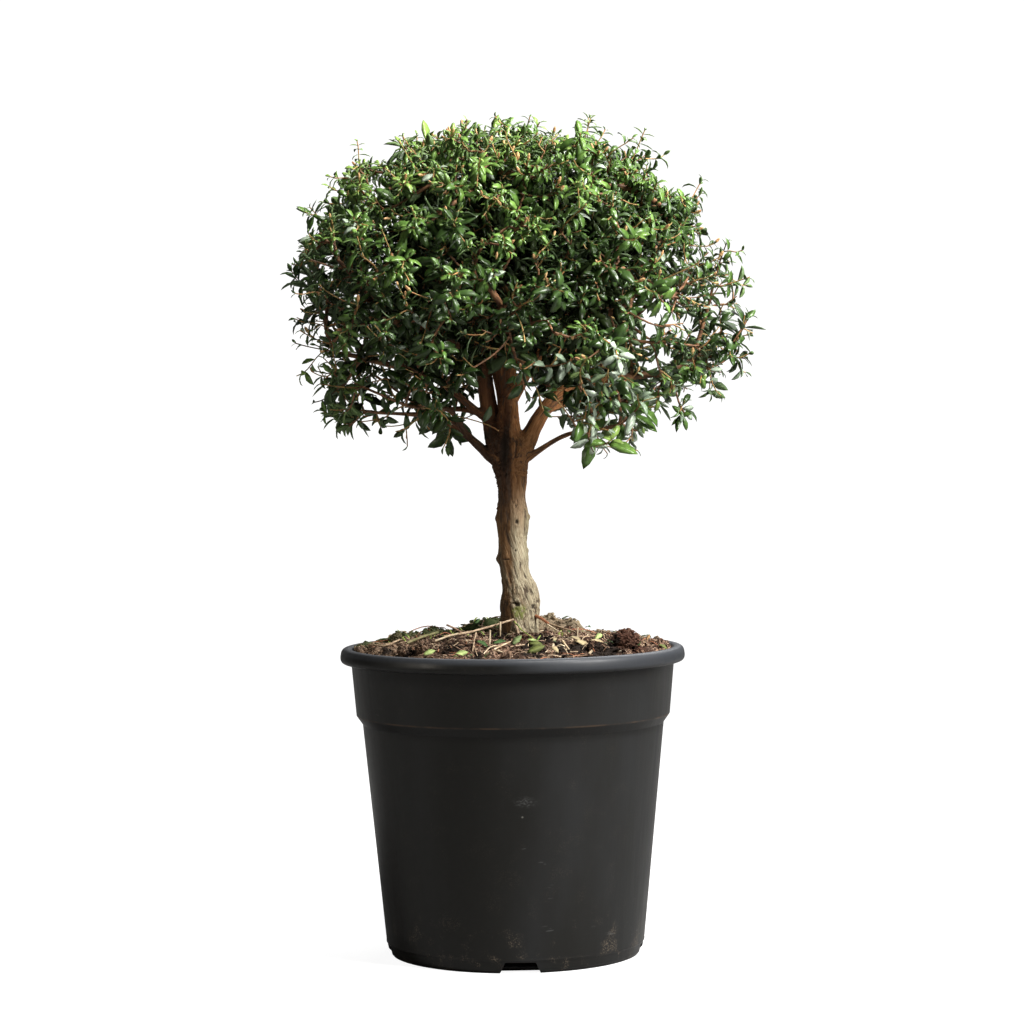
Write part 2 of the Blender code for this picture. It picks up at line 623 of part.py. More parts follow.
def twig_leaves(start, end, number):
    """The leaves of one twig, as (root, way, face, size): opposite pairs, each a quarter turn from the
    last, and one leaf at the tip."""
    way = (end - start).normalized()
    side = way.cross(Vector((0, 0, 1)) if abs(way.z) < 0.9 else Vector((1, 0, 0))).normalized()
    leaves = [(end - way * TWIG_TIP_RADIUS, way, Vector((0, 0, 1)) + way * 0.2, TIP_LEAF)]
    for pair, back in enumerate(LEAF_PAIRS):
        for half_turn in (0, 1):
            angle = number * 0.7 + pair * math.pi / 2 + half_turn * math.pi
            spoke = Matrix.Rotation(angle, 3, way) @ side
            leaf_way = way * math.cos(LEAF_SPREAD) + spoke * math.sin(LEAF_SPREAD)
            size = 1.0 + LEAF_VARIATION * noise.noise(Vector((number * 1.7, pair * 2.3, half_turn * 4.1)))
            leaves.append((end - way * back, leaf_way, way - spoke * 0.4, size))
    return leaves


def build_mass(cell, targets, limbs, finish):
    """One mass: its stem, its core if it is dense, its twigs, and the leaves that fit its space and cross
    nothing but their own twig."""

    def fits(points):
        clear = all(limbs.find(point)[2] > LIMB_BERTH for point in points)
        return clear and cell.holds(points) and all(inside_crown(p, LEAF_OVERHANG) for p in points)

    root = cell.tip + cell.way * GAP
    radius = next(limb for limb in LIMBS if limb.name == cell.mass.limb).radii[1]
    stem = [root, root.lerp(cell.middle, 0.5), cell.middle]
    wood = [tube(stem, [radius, radius * 0.8, radius * 0.6], THIN_SIDES, cell.way)]
    if cell.mass.dense:
        wood.append(core_shape(cell))
    twigs = []
    for start, end in grow_twigs(root, cell.middle, targets):
        if fits([start.lerp(end, 0.7), end]):
            sunk = start - (end - start).normalized() * TWIG_TIP_RADIUS
            twigs.append((start, end, tube([sunk, end], [TWIG_ROOT_RADIUS, TWIG_TIP_RADIUS], 3)))
    solids = [(None, BVHTree.FromBMesh(shape)) for shape in wood]
    solids += [(number, BVHTree.FromBMesh(shape)) for number, (_, _, shape) in enumerate(twigs)]

    def grown_leaf(number, base, way, face, size):
        """A leaf of that twig, smaller where the full size has no room, or None where that has none."""
        for shrink in (1.0, SMALL_LEAF):
            shape = leaf_shape(base, way, face, size * shrink)
            skin = BVHTree.FromBMesh(shape)
            crosses = any(skin.overlap(other) for twig, other in solids if twig != number)
            if not crosses and fits([vertex.co for vertex in shape.verts]):
                solids.append((number, skin))
                return shape
            shape.free()
        return None

    leaves = []
    for number, (start, end, _) in enumerate(twigs):
        leaves += [grown_leaf(number, *leaf) for leaf in twig_leaves(start, end, number)]
    leaves = [leaf for leaf in leaves if leaf]
    return fuse(cell.mass.name, wood + [shape for _, _, shape in twigs] + leaves, finish, "MANIFOLD")


def build_foliage(lines):
    leaf_green = material("leaf_green", (0.055, 0.125, 0.035), 0.45)
    spots = [point for line in lines.values() for point in line]
    limbs = kdtree.KDTree(len(spots))
    for i, spot in enumerate(spots):
        limbs.insert(spot, i)
    limbs.balance()
    cells = [Cell(mass, lines[mass.limb]) for mass in MASSES]
    for cell in cells:
        cell.fence(cells)
    shared = twig_targets(cells)
    for cell in cells:
        build_mass(cell, shared[cell.mass.name], limbs, leaf_green)


def main():
    clear_scene()
    build_pot()
    build_soil()
    build_foliage(build_limbs())


main()
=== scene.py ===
"""The looks of the potted myrtle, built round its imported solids: metres, +Z up, its front towards -Y."""

import json
import math
import random
from collections import namedtuple

import bmesh
import bpy
import numpy as np
from mathutils import Matrix, Vector, kdtree, noise

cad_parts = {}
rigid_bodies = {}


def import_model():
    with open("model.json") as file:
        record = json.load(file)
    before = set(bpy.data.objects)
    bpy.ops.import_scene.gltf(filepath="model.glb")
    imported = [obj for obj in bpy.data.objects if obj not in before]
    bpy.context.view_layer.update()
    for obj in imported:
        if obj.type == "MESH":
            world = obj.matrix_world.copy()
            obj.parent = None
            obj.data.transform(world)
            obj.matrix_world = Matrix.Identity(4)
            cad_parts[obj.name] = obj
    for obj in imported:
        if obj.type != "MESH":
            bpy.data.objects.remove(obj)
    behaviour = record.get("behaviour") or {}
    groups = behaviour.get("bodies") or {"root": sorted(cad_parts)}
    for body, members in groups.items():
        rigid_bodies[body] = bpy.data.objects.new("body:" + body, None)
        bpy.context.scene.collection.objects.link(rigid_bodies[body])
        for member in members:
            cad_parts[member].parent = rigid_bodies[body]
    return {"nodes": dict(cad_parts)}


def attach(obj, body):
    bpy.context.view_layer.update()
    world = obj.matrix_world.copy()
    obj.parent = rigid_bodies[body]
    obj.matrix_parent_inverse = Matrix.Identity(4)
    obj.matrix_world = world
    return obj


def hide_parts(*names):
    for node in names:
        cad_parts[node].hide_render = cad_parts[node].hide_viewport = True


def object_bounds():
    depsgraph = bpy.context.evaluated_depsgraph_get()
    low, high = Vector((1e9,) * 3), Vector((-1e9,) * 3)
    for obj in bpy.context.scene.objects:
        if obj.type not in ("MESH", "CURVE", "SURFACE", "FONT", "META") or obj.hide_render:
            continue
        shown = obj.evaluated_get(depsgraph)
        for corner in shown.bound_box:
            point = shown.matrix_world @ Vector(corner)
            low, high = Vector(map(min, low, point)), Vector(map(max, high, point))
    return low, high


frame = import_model()
cad_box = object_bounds()

# The studio: a pale floor that runs up into a pale wall in one curve, so that no edge shows behind the plant.
# It is painted board. The camera sees it evenly white, and what it throws back on the plant is soft and weak.
FLOOR_FRONT = -4.0
WALL_BACK = 3.2
WALL_TOP = 3.0
COVE_RADIUS = 1.2
COVE_STEPS = 16
STUDIO_WIDTH = 9.0
BOARD_GREY = (0.24, 0.24, 0.24)
BOARD_GLOW = 0.93


def plug(socket, value):
    """Gives a node's input a link, a colour or a plain value."""
    if isinstance(value, bpy.types.NodeSocket):
        socket.id_data.links.new(value, socket)
    else:
        socket.default_value = (*value, 1.0) if socket.type == "RGBA" else value


def node(tree, kind, output, inputs, **settings):
    """An output of a new node, whose inputs are given by name or by number."""
    made = tree.nodes.new(kind)
    for name, value in settings.items():
        setattr(made, name, value)
    for name, value in inputs.items():
        plug(made.inputs[name], value)
    return made.outputs[output]


def principled(name, colour, roughness, gloss=0.5):
    """A material, its node tree, and its Principled BSDF's inputs."""
    made = bpy.data.materials.new(name)
    made.use_nodes = True
    inputs = made.node_tree.nodes["Principled BSDF"].inputs
    for socket, value in (("Base Color", colour), ("Roughness", roughness), ("Specular IOR Level", gloss)):
        plug(inputs[socket], value)
    return made, made.node_tree, inputs


def finished(name, shape):
    """The bmesh as a mesh of that name."""
    mesh = bpy.data.meshes.new(name)
    shape.to_mesh(mesh)
    shape.free()
    return mesh


def scene_object(name, data, *finishes):
    made = bpy.data.objects.new(name, data)
    for finish in finishes:
        data.materials.append(finish)
    bpy.context.scene.collection.objects.link(made)
    return made


def studio_board():
    """The board's paint: white to the camera, a dull grey to every other ray."""
    board, tree, _ = principled("studio_board", BOARD_GREY, 0.9)
    paint = tree.nodes["Principled BSDF"].outputs[0]
    glow = node(tree, "ShaderNodeEmission", 0, {"Strength": BOARD_GLOW})
    seen = node(tree, "ShaderNodeLightPath", "Is Camera Ray", {})
    lit = node(tree, "ShaderNodeAddShader", 0, {0: glow, 1: paint})
    either = node(tree, "ShaderNodeMixShader", 0, {0: seen, 1: paint, 2: lit})
    plug(tree.nodes["Material Output"].inputs["Surface"], either)
    return board


section = [(FLOOR_FRONT, 0.0)]
for step in range(COVE_STEPS + 1):
    angle = math.pi / 2 * step / COVE_STEPS
    section.append((WALL_BACK - COVE_RADIUS * (1 - math.sin(angle)), COVE_RADIUS * (1 - math.cos(angle))))
section.append((WALL_BACK, WALL_TOP))
sheet = bmesh.new()
rows = [[sheet.verts.new((side * STUDIO_WIDTH / 2, y, z)) for side in (-1, 1)] for y, z in section]
for low, high in zip(rows, rows[1:]):
    sheet.faces.new((low[0], low[1], high[1], high[0]))
board = scene_object("studio_board", finished("studio_board", sheet), studio_board())
board.data.shade_smooth()

# The camera: a long lens a little above the plant's middle and nearly level, with the photo's slight roll.
# The lights are soft panels: one overhead and one high at the right, a weak one at the left and one behind.
IMAGE_SIZE = 1024
FOCAL_PIXELS = 2964
SENSOR_MM = 36
CAMERA_DISTANCE = 2.410
CAMERA_HEIGHT = 0.434
CAMERA_PITCH = 0.0155  # radians down
CAMERA_ROLL = 0.0105
VIEW_CENTRE = (510.1, 464.0)  # pixel that the camera's axis meets in the photo
FARTHEST = 50
PANELS = (("overhead_panel", (0.65, -0.55, 2.0), 0.50, (0.45, 0.45), 61, (1.0, 0.985, 0.95), 180),
          ("side_panel", (1.38, -0.90, 1.22), 0.32, (0.55, 0.55), 68, (1.0, 0.985, 0.955), 180),
          ("fill_panel", (-1.7, -0.9, 0.50), 0.22, (0.5, 0.3), 0.24, (1.0, 0.93, 0.82), 26),
          ("back_panel", (0.7, 1.6, 1.8), 0.50, (1.6, 1.0), 22, (1.0, 1.0, 1.0), 180))
# A panel's row: name, place, height on the plant's axis that it faces, size, watts, tint, spread in degrees
AIR_COLOUR = (0.95, 0.97, 1.0)
AIR_STRENGTH = 0.05

lens = bpy.data.cameras.new("camera")
lens.sensor_width = SENSOR_MM
lens.lens = FOCAL_PIXELS / IMAGE_SIZE * SENSOR_MM
lens.shift_x = (IMAGE_SIZE / 2 - VIEW_CENTRE[0]) / IMAGE_SIZE
lens.shift_y = (VIEW_CENTRE[1] - IMAGE_SIZE / 2) / IMAGE_SIZE
lens.clip_end = FARTHEST
camera = scene_object("camera", lens)
camera.location = (0.0, -CAMERA_DISTANCE, CAMERA_HEIGHT)
camera.rotation_euler = (math.pi / 2 - CAMERA_PITCH, CAMERA_ROLL, 0.0)
bpy.context.scene.camera = camera
for name, place, aim, size, watts, tint, degrees in PANELS:
    panel = bpy.data.lights.new(name, "AREA")
    panel.shape = "RECTANGLE"
    panel.size, panel.size_y = size
    panel.energy = watts
    panel.color = tint
    panel.spread = math.radians(degrees)
    light = scene_object(name, panel)
    light.location = place
    light.rotation_euler = (Vector((0.0, 0.0, aim)) - Vector(place)).to_track_quat("-Z", "Y").to_euler()
sky = bpy.data.worlds.new("studio_air")
sky.use_nodes = True
plug(sky.node_tree.nodes["Background"].inputs["Color"], AIR_COLOUR)
plug(sky.node_tree.nodes["Background"].inputs["Strength"], AIR_STRENGTH)
bpy.context.scene.world = sky
bpy.context.scene.view_settings.view_transform = "Standard"


# The pot: a ten litre nursery container, blow-moulded in black polyethylene. It has a rolled rim, a wide band
# under it that nests in the next pot, a mould line above the foot, and four drain notches through its edge.
POT_SIDES = 160
POT_WALL = 0.002
RIM_RADIUS = 0.140
RIM_TOP = 0.2486
RIM_BOTTOM = 0.2365
RIM_ROUND = 0.0045
RIM_LEAN = 0.0017  # the rim's face is this much narrower at its foot, and a little at its top
RIM_WIDEST = 0.0035  # height of its widest line over its foot
BAND_TOP_RADIUS = 0.1312
BAND_BOTTOM = (0.1274, 0.1940)  # radius and height, as in the points below
STEP = (0.1224, 0.1870)
MOULD_LINE = (0.1050, 0.0105)
FOOT_RADIUS = 0.1038
FOOT_CORNER = 0.0030
NOTCHES = (-88.0, -8.0, 90.0, 188.0)  # degrees round the pot, the first at the front
NOTCH_HEIGHT = 0.0090
NOTCH_WIDTHS = (0.0320, 0.0240)  # at its foot and at its top
NOTCH_INNER_RADIUS = 0.0880
NOTCH_BELOW = 0.002  # how far its cutter reaches under the pot
SHARP_DEGREES = 32
RUBBED_SPOT = (0.0085, -0.1150, 0.1362)
RUBBED_FLATNESS = 2.2  # its width by its height
CHIP = (0.0062, -0.1145, 0.1245)


def rounded(points, radius, steps=4):
    """An open outline with a smooth bend in place of each corner, that far to both sides of it."""
    out = [Vector(points[0])]
    for before, corner, after in zip(points, points[1:], points[2:]):
        corner = Vector(corner)
        legs = [Vector(before) - corner, Vector(after) - corner]
        ends = [corner + leg.normalized() * min(radius, leg.length * 0.45) for leg in legs]
        for step in range(steps + 1):
            t = step / steps
            out.append(ends[0] * (1 - t) ** 2 + corner * 2 * t * (1 - t) + ends[1] * t * t)
    return out + [Vector(points[-1])]


def turned(outline, sides):
    """A closed body turned about the Z axis from (radius, height) points that start and end on it."""
    shape = bmesh.new()
    turns = [2 * math.pi * i / sides for i in range(sides)]
    rings = [[shape.verts.new((r * math.cos(turn), r * math.sin(turn), z)) for turn in turns] if r > 1e-6 else
             [shape.verts.new((0.0, 0.0, z))] * sides for r, z in outline]
    for low, high in zip(rings, rings[1:]):
        for i in range(sides):
            shape.faces.new(tuple(dict.fromkeys((low[i - 1], low[i], high[i], high[i - 1]))))
    bmesh.ops.recalc_face_normals(shape, faces=shape.faces)
    return shape


def notch_cutter(degrees):
    shape = bmesh.new()
    foot, top = NOTCH_WIDTHS
    foot = (foot + (foot - top) / NOTCH_HEIGHT * NOTCH_BELOW) / 2
    corners = ((-foot, -NOTCH_BELOW), (foot, -NOTCH_BELOW), (top / 2, NOTCH_HEIGHT), (-top / 2, NOTCH_HEIGHT))
    rings = [[shape.verts.new((r, y, z)) for y, z in corners] for r in (NOTCH_INNER_RADIUS, RIM_RADIUS)]
    inner, outer = rings
    shape.faces.new(inner)
    shape.faces.new(outer)
    for i in range(4):
        shape.faces.new((inner[i], inner[i - 1], outer[i - 1], outer[i]))
    bmesh.ops.recalc_face_normals(shape, faces=shape.faces)
    shape.transform(Matrix.Rotation(math.radians(degrees), 4, "Z"))
    return scene_object("notch_cutter", finished("notch_cutter", shape))


def settled(obj):
    """Applies the object's modifiers to its mesh and takes them off."""
    graph = bpy.context.evaluated_depsgraph_get()
    mesh = bpy.data.meshes.new_from_object(obj.evaluated_get(graph))
    obj.modifiers.clear()
    obj.data = mesh


mould_radius, mould_height = MOULD_LINE
outside = [(0.0, 0.0), (FOOT_RADIUS - FOOT_CORNER, 0.0), (FOOT_RADIUS - 0.0004, FOOT_CORNER),
           (mould_radius - 0.0005, mould_height - 0.0007), (mould_radius + 0.0002, mould_height),
           (mould_radius, mould_height + 0.0012), STEP, BAND_BOTTOM, (BAND_TOP_RADIUS, RIM_BOTTOM),
           (BAND_TOP_RADIUS + 0.0012, RIM_BOTTOM)]
rim = [(RIM_RADIUS - RIM_LEAN, RIM_BOTTOM), (RIM_RADIUS + 0.0004, RIM_BOTTOM + RIM_WIDEST),
       (RIM_RADIUS - 0.0012, RIM_TOP), (BAND_TOP_RADIUS - POT_WALL, RIM_TOP)]
inside = [(BAND_BOTTOM[0] - POT_WALL, BAND_BOTTOM[1]), (STEP[0] - POT_WALL, STEP[1]),
          (FOOT_RADIUS - POT_WALL, 0.003), (0.0, 0.003)]
rim_bend = rounded([outside[-1], *rim, inside[0]], RIM_ROUND, 6)
outline = rounded(outside, 0.0006, 2)[:-1] + rim_bend + inside[1:]
pot = scene_object("pot_shell", finished("pot_shell", turned(outline, POT_SIDES)))
for degrees in NOTCHES:
    cutter = notch_cutter(degrees)
    cut = pot.modifiers.new("drain notch", "BOOLEAN")
    cut.operation = "DIFFERENCE"
    cut.object = cutter
    settled(pot)
    bpy.data.objects.remove(cutter, do_unlink=True)
pot.data.shade_smooth()
pot.data.set_sharp_from_angle(angle=math.radians(SHARP_DEGREES))


def object_place(tree):
    return node(tree, "ShaderNodeTexCoord", "Object", {})


def parts(vector):
    """The vector's X, Y and Z."""
    return node(vector.id_data, "ShaderNodeSeparateXYZ", 0, {0: vector}).node.outputs


def stretched(vector, factors):
    return node(vector.id_data, "ShaderNodeMapping", "Vector", {"Vector": vector, "Scale": factors})


def noise_texture(vector, scale, detail=4.0, roughness=0.55):
    """Noise of that scale, or of one scale for each axis."""
    if isinstance(scale, tuple):
        vector, scale = stretched(vector, scale), 1.0
    return node(vector.id_data, "ShaderNodeTexNoise", "Fac",
                {"Vector": vector, "Scale": scale, "Detail": detail, "Roughness": roughness})


def spread(value, low, high, out_low=0.0, out_high=1.0):
    """The value, with low to high stretched over out_low to out_high and held at the ends."""
    limits = {"From Min": low, "From Max": high, "To Min": out_low, "To Max": out_high}
    return node(value.id_data, "ShaderNodeMapRange", "Result", {"Value": value, **limits},
                interpolation_type="SMOOTHSTEP")


def calculated(operation, first, *others):
    for other in others:
        first = node(first.id_data, "ShaderNodeMath", 0, {0: first, 1: other}, operation=operation)
    return first


def product(*values):
    return calculated("MULTIPLY", *values)


def distance_to(vector, point):
    return node(vector.id_data, "ShaderNodeVectorMath", "Value", {0: vector, 1: point}, operation="DISTANCE")


def blended(share, first, second):
    """A colour between two, by a mask that runs from 0 to 1."""
    return node(share.id_data, "ShaderNodeMix", 2, {"Factor": share, 6: first, 7: second}, data_type="RGBA")


def layered(colour, *layers):
    """The colour with others laid over it in turn, each a (mask, colour)."""
    for mask, other in layers:
        colour = blended(mask, colour, other)
    return colour


def bumped(height, distance, strength, inputs):
    relief = {"Height": height, "Distance": distance, "Strength": strength}
    plug(inputs["Normal"], node(height.id_data, "ShaderNodeBump", "Normal", relief))


def node_group(name, kind, sockets, output):
    """An empty group with named inputs (name, kind, default) and one output: it, its inputs and its end."""
    group = bpy.data.node_groups.new(name, kind)
    for title, sort, *default in sockets:
        socket = group.interface.new_socket(title, in_out="INPUT", socket_type="NodeSocket" + sort)
        for value in default:
            socket.default_value = value
    group.interface.new_socket(output[0], in_out="OUTPUT", socket_type="NodeSocket" + output[1])
    return group, group.nodes.new("NodeGroupInput").outputs, group.nodes.new("NodeGroupOutput").inputs[0]


def soil_dust():
    """A group that masks dried soil dust, in patches of fine specks."""
    sockets = (("Patches", "Float", 9.0), ("Amount", "Float", 0.5))
    group, inputs, end = node_group("soil_dust", "ShaderNodeTree", sockets, ("Dust", "Float"))
    place = object_place(group)
    near = spread(noise_texture(place, inputs["Patches"], 3.0, 0.5), 0.52, 0.72)
    fine = spread(noise_texture(place, 900.0, 3.0), 0.48, 0.66)
    plug(end, product(near, fine, inputs["Amount"]))
    return group


def black_plastic():
    """Satin black polyethylene: faint vertical flow marks, rubbed haze, and dried dust low down on it, with
    painted highlights and painted light on the rim and painted shadow under the rim and under the band.
    """
    made, tree, inputs = principled("black_polyethylene", (0.0105, 0.0110, 0.0120), 0.44, 0.20)
    place = object_place(tree)
    x, _, z = parts(place)
    haze = spread(noise_texture(place, (9.0, 9.0, 3.0), 5.0), 0.40, 0.75)
    marks = noise_texture(place, (160.0, 160.0, 5.0), 4.0)
    grain = noise_texture(place, 1500.0, 2.0)
    cross_marks = spread(noise_texture(place, (420.0, 420.0, 900.0), 3.0), 0.44, 0.70, 0.02, 0.50)
    scratches = spread(noise_texture(place, (60.0, 60.0, 340.0), 3.0), 0.66, 0.72)
    scratched = spread(noise_texture(place, 14.0, 2.0), 0.56, 0.66)
    silt = spread(noise_texture(place, 40.0, 3.0), 0.38, 0.60, 0.1, 0.7)
    dust = node(tree, "ShaderNodeGroup", "Dust", {"Patches": 60.0, "Amount": 1.0}, node_tree=soil_dust())
    spot = (*RUBBED_SPOT[:2], RUBBED_SPOT[2] * RUBBED_FLATNESS)
    smear = spread(distance_to(stretched(place, (1.0, 1.0, RUBBED_FLATNESS)), spot), 0.0125, 0.0020)
    rim, band, step = RIM_BOTTOM, BAND_BOTTOM[1], STEP[1]
    colour = layered(
        blended(haze, (0.0084, 0.0081, 0.0071), (0.0142, 0.0146, 0.0152)),
        (product(scratches, scratched, 0.30), (0.11, 0.11, 0.11)),
        # the rim: a painted highlight on its rounded top, painted light on its face on the right, and painted
        # highlights as bright lines at its lip and foot
        (spread(z, RIM_TOP - 0.0060, RIM_TOP - 0.0020, 0.0, 0.8), (0.036, 0.039, 0.045)),
        (product(spread(z, rim + 0.0005, rim + 0.0030), spread(x, -0.015, 0.045, 0.0, 0.65)),
         (0.034, 0.037, 0.043)),
        (spread(z, RIM_TOP - 0.0009, RIM_TOP - 0.0003, 0.0, 0.7), (0.080, 0.085, 0.095)),
        (product(spread(z, rim - 0.0003, rim + 0.0001), spread(z, rim + 0.0009, rim + 0.0004),
                 spread(x, 0.010, 0.060, 0.0, 0.6)), (0.150, 0.155, 0.165)),
        # painted shadow under the rim and under the band, and the silt on the band's foot
        (product(spread(z, rim - 0.0150, rim - 0.0025, 0.0, 0.85), spread(z, rim + 0.0015, rim)),
         (0.0035, 0.0033, 0.0030)),
        (product(spread(z, step - 0.0070, step + 0.0010, 0.0, 0.8), spread(z, band, band - 0.0008)),
         (0.0040, 0.0038, 0.0035)),
        (product(spread(z, band - 0.0010, band), spread(z, band + 0.0012, band + 0.0002), silt),
         (0.058, 0.036, 0.022)),
        (product(dust, spread(z, 0.050, 0.004, 0.05, 0.75)), (0.17, 0.135, 0.10)),
        (product(smear, cross_marks), (0.10, 0.10, 0.10)),
        (spread(distance_to(place, CHIP), 0.0019, 0.0008, 0.0, 0.9), (0.42, 0.41, 0.37)))
    plug(inputs["Base Color"], colour)
    dulled = calculated("ADD", product(haze, 0.6), product(marks, 0.5))
    plug(inputs["Roughness"], spread(dulled, 0.1, 1.0, 0.33, 0.52))
    bumped(calculated("ADD", product(marks, 0.8), product(grain, 0.2)), 0.0004, 0.35, inputs)
    return made


pot.data.materials.append(black_plastic())
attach(pot, "root")
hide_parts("pot")


# The soil: dark, coarse potting compost that fills the pot, heaped up round the trunk, with large clods.
# It is one crumbly mass with loose crumbs lying on it.
GROUND = 0.2590
FLAT_RADIUS = 0.0190  # the soil is flat this far out, under the trunk
SOIL_HEAP = ((0.0, 0.0), (0.0190, 0.0), (0.0400, 0.0002), (0.0620, -0.0014), (0.0840, -0.0040),
             (0.1060, -0.0075), (0.1220, -0.0100))  # radius, rise above GROUND
SOIL_EDGE_DROP = 0.0122
SOIL_SETTLING = 0.020
SOIL_ROUGHNESS = 0.0035
SOIL_GRAIN = 0.020
SOIL_GAP = 0.0003  # left between the soil and the pot
SOIL_FOOT = 0.0105  # just over the drain notches, so that these open on the dark under the soil
SOIL_SPOKES = 260
SOIL_RINGS = 72
# From here on, tables with a place in each row are in millimetres. Every other length stays in metres.
CLODS = ((90, -42, 14, 10.5), (42, 50, 21, 10.5), (12, 52, 30, 8), (-22, 52, 30, 6), (-56, 46, 26, 4),
         (-90, 26, 24, 3.5), (-48, -54, 18, 4))  # x, y, radius, height
CLOD_STEEPNESS = 1.6
LUMPS = ((90.5, -70, 256, 10.5), (-69.7, -86.7, 254, 6.2), (-94.6, 5.5, 255, 4.6),
         (64.5, -78.6, 252, 5.8), (-85, -84, 252, 4.8))  # named ones' x, y, z, radius
LUMP_COUNT = 70
LUMP_RADII = (0.0024, 0.0060)
LUMP_CRUMBS = (0.0007, 0.0016)  # radii of the crumbs that the named lumps are made of
LUMP_CRUMB_SHARE = 0.30
CRUMB_RADII = (0.0006, 0.0026)
CRUMB_STRETCHES = (1.0, 1.0, 1.2, 2.4)  # of its four forms
PAINTED_LIGHT_COLOUR = (0.470, 0.330, 0.225)  # painted light: the colour that its light grains and some of the rest take towards the left
MOSSY_COLOUR = (0.042, 0.066, 0.022)  # at the back on the left
STALE_COLOUR = (0.310, 0.250, 0.165)  # at the back on the right
# Painted shade: near-black patches of colour where the soil's clods shade each other, at these places
PAINTED_SHADE_COLOUR = (0.012, 0.008, 0.006)
PAINTED_SHADE_PLACES = ((-12.5, -31, 263, 11), (-49, -39, 264, 9.5), (-78.7, -94, 252, 6),
               (-46.3, -90, 254.5, 10.5), (25.8, -56, 258, 11), (52.9, -79, 255, 11.5),
               (74, -88, 253, 12.5), (78.5, -61, 257, 8), (16, -98.5, 252.5, 12), (40, -101, 251.5, 11),
               (-99, -70, 252, 6), (39.3, -76, 255.3, 8.5), (15.7, -81, 255.7, 8), (-55, -17, 259, 9),
               (62.5, -110, 250, 9.5), (51, -21, 259.2, 8), (-27.5, -115, 250.7, 8))  # x, y, z, radius
PAINTED_SHADE_DEPTH = 0.35  # the patches of painted shade are this much longer from front to back
DARK_CLOD = (0.0905, -0.0640, 0.2600)
DARK_CLOD_COLOUR = (0.075, 0.033, 0.021)
dice = random.Random(7)


def metres(*lengths):
    return [length / 1000 for length in lengths]


def between(pair, share):
    return pair[0] + (pair[1] - pair[0]) * share


def held(value):
    """The value, kept from 0 to 1."""
    return min(max(value, 0.0), 1.0)


def interpolated(rows, at, column):
    """That column of a table of rows at a value of its first column."""
    for low, high in zip(rows, rows[1:]):
        if at <= high[0]:
            return low[column] + (high[column] - low[column]) * (at - low[0]) / (high[0] - low[0])
    return rows[-1][column]


def soil_height(x, y):
    """Height of the uneven soil at a place inside the pot's rim, clods and crumbs included."""
    def uneven(level, size):
        return noise.noise(Vector((x, y, level)) / size)

    radius = math.hypot(x, y)
    fade = held((radius - FLAT_RADIUS) / SOIL_SETTLING)
    lumps = uneven(0.37, SOIL_GRAIN) * SOIL_ROUGHNESS
    for clod in CLODS:
        clod_x, clod_y, size, height = metres(*clod)
        near = 1.0 - math.hypot(x - clod_x, y - clod_y) / size
        lumps += height * min(1.0, CLOD_STEEPNESS * max(near, 0.0))
    lumps += abs(uneven(4.2, 0.0115)) * 0.0070 - 0.0030
    crumbs = uneven(1.1, 0.0062) * 0.0018 + uneven(2.3, 0.0021) * 0.0010
    return GROUND + interpolated(SOIL_HEAP, radius, 1) + fade * lumps + crumbs * min(1.0, 0.25 + fade)


soil_edge = BAND_TOP_RADIUS - POT_WALL - SOIL_GAP
levels = [(0.0, SOIL_FOOT), (FOOT_RADIUS - POT_WALL - SOIL_GAP, SOIL_FOOT),
          (STEP[0] - POT_WALL - SOIL_GAP, STEP[1]),
          (BAND_BOTTOM[0] - POT_WALL - SOIL_GAP, BAND_BOTTOM[1] + SOIL_GAP), (soil_edge, RIM_BOTTOM)]
levels += [(soil_edge * (1 - ring / SOIL_RINGS), GROUND - SOIL_EDGE_DROP) for ring in range(SOIL_RINGS + 1)]
heap = turned(levels, SOIL_SPOKES)
for vertex in heap.verts:
    if vertex.co.z > RIM_BOTTOM + 0.001:
        vertex.co.z = max(soil_height(vertex.co.x, vertex.co.y), RIM_BOTTOM + 0.004)
bmesh.ops.recalc_face_normals(heap, faces=heap.faces)
soil = scene_object("soil_heap", finished("soil_heap", heap))
soil.data.shade_smooth()


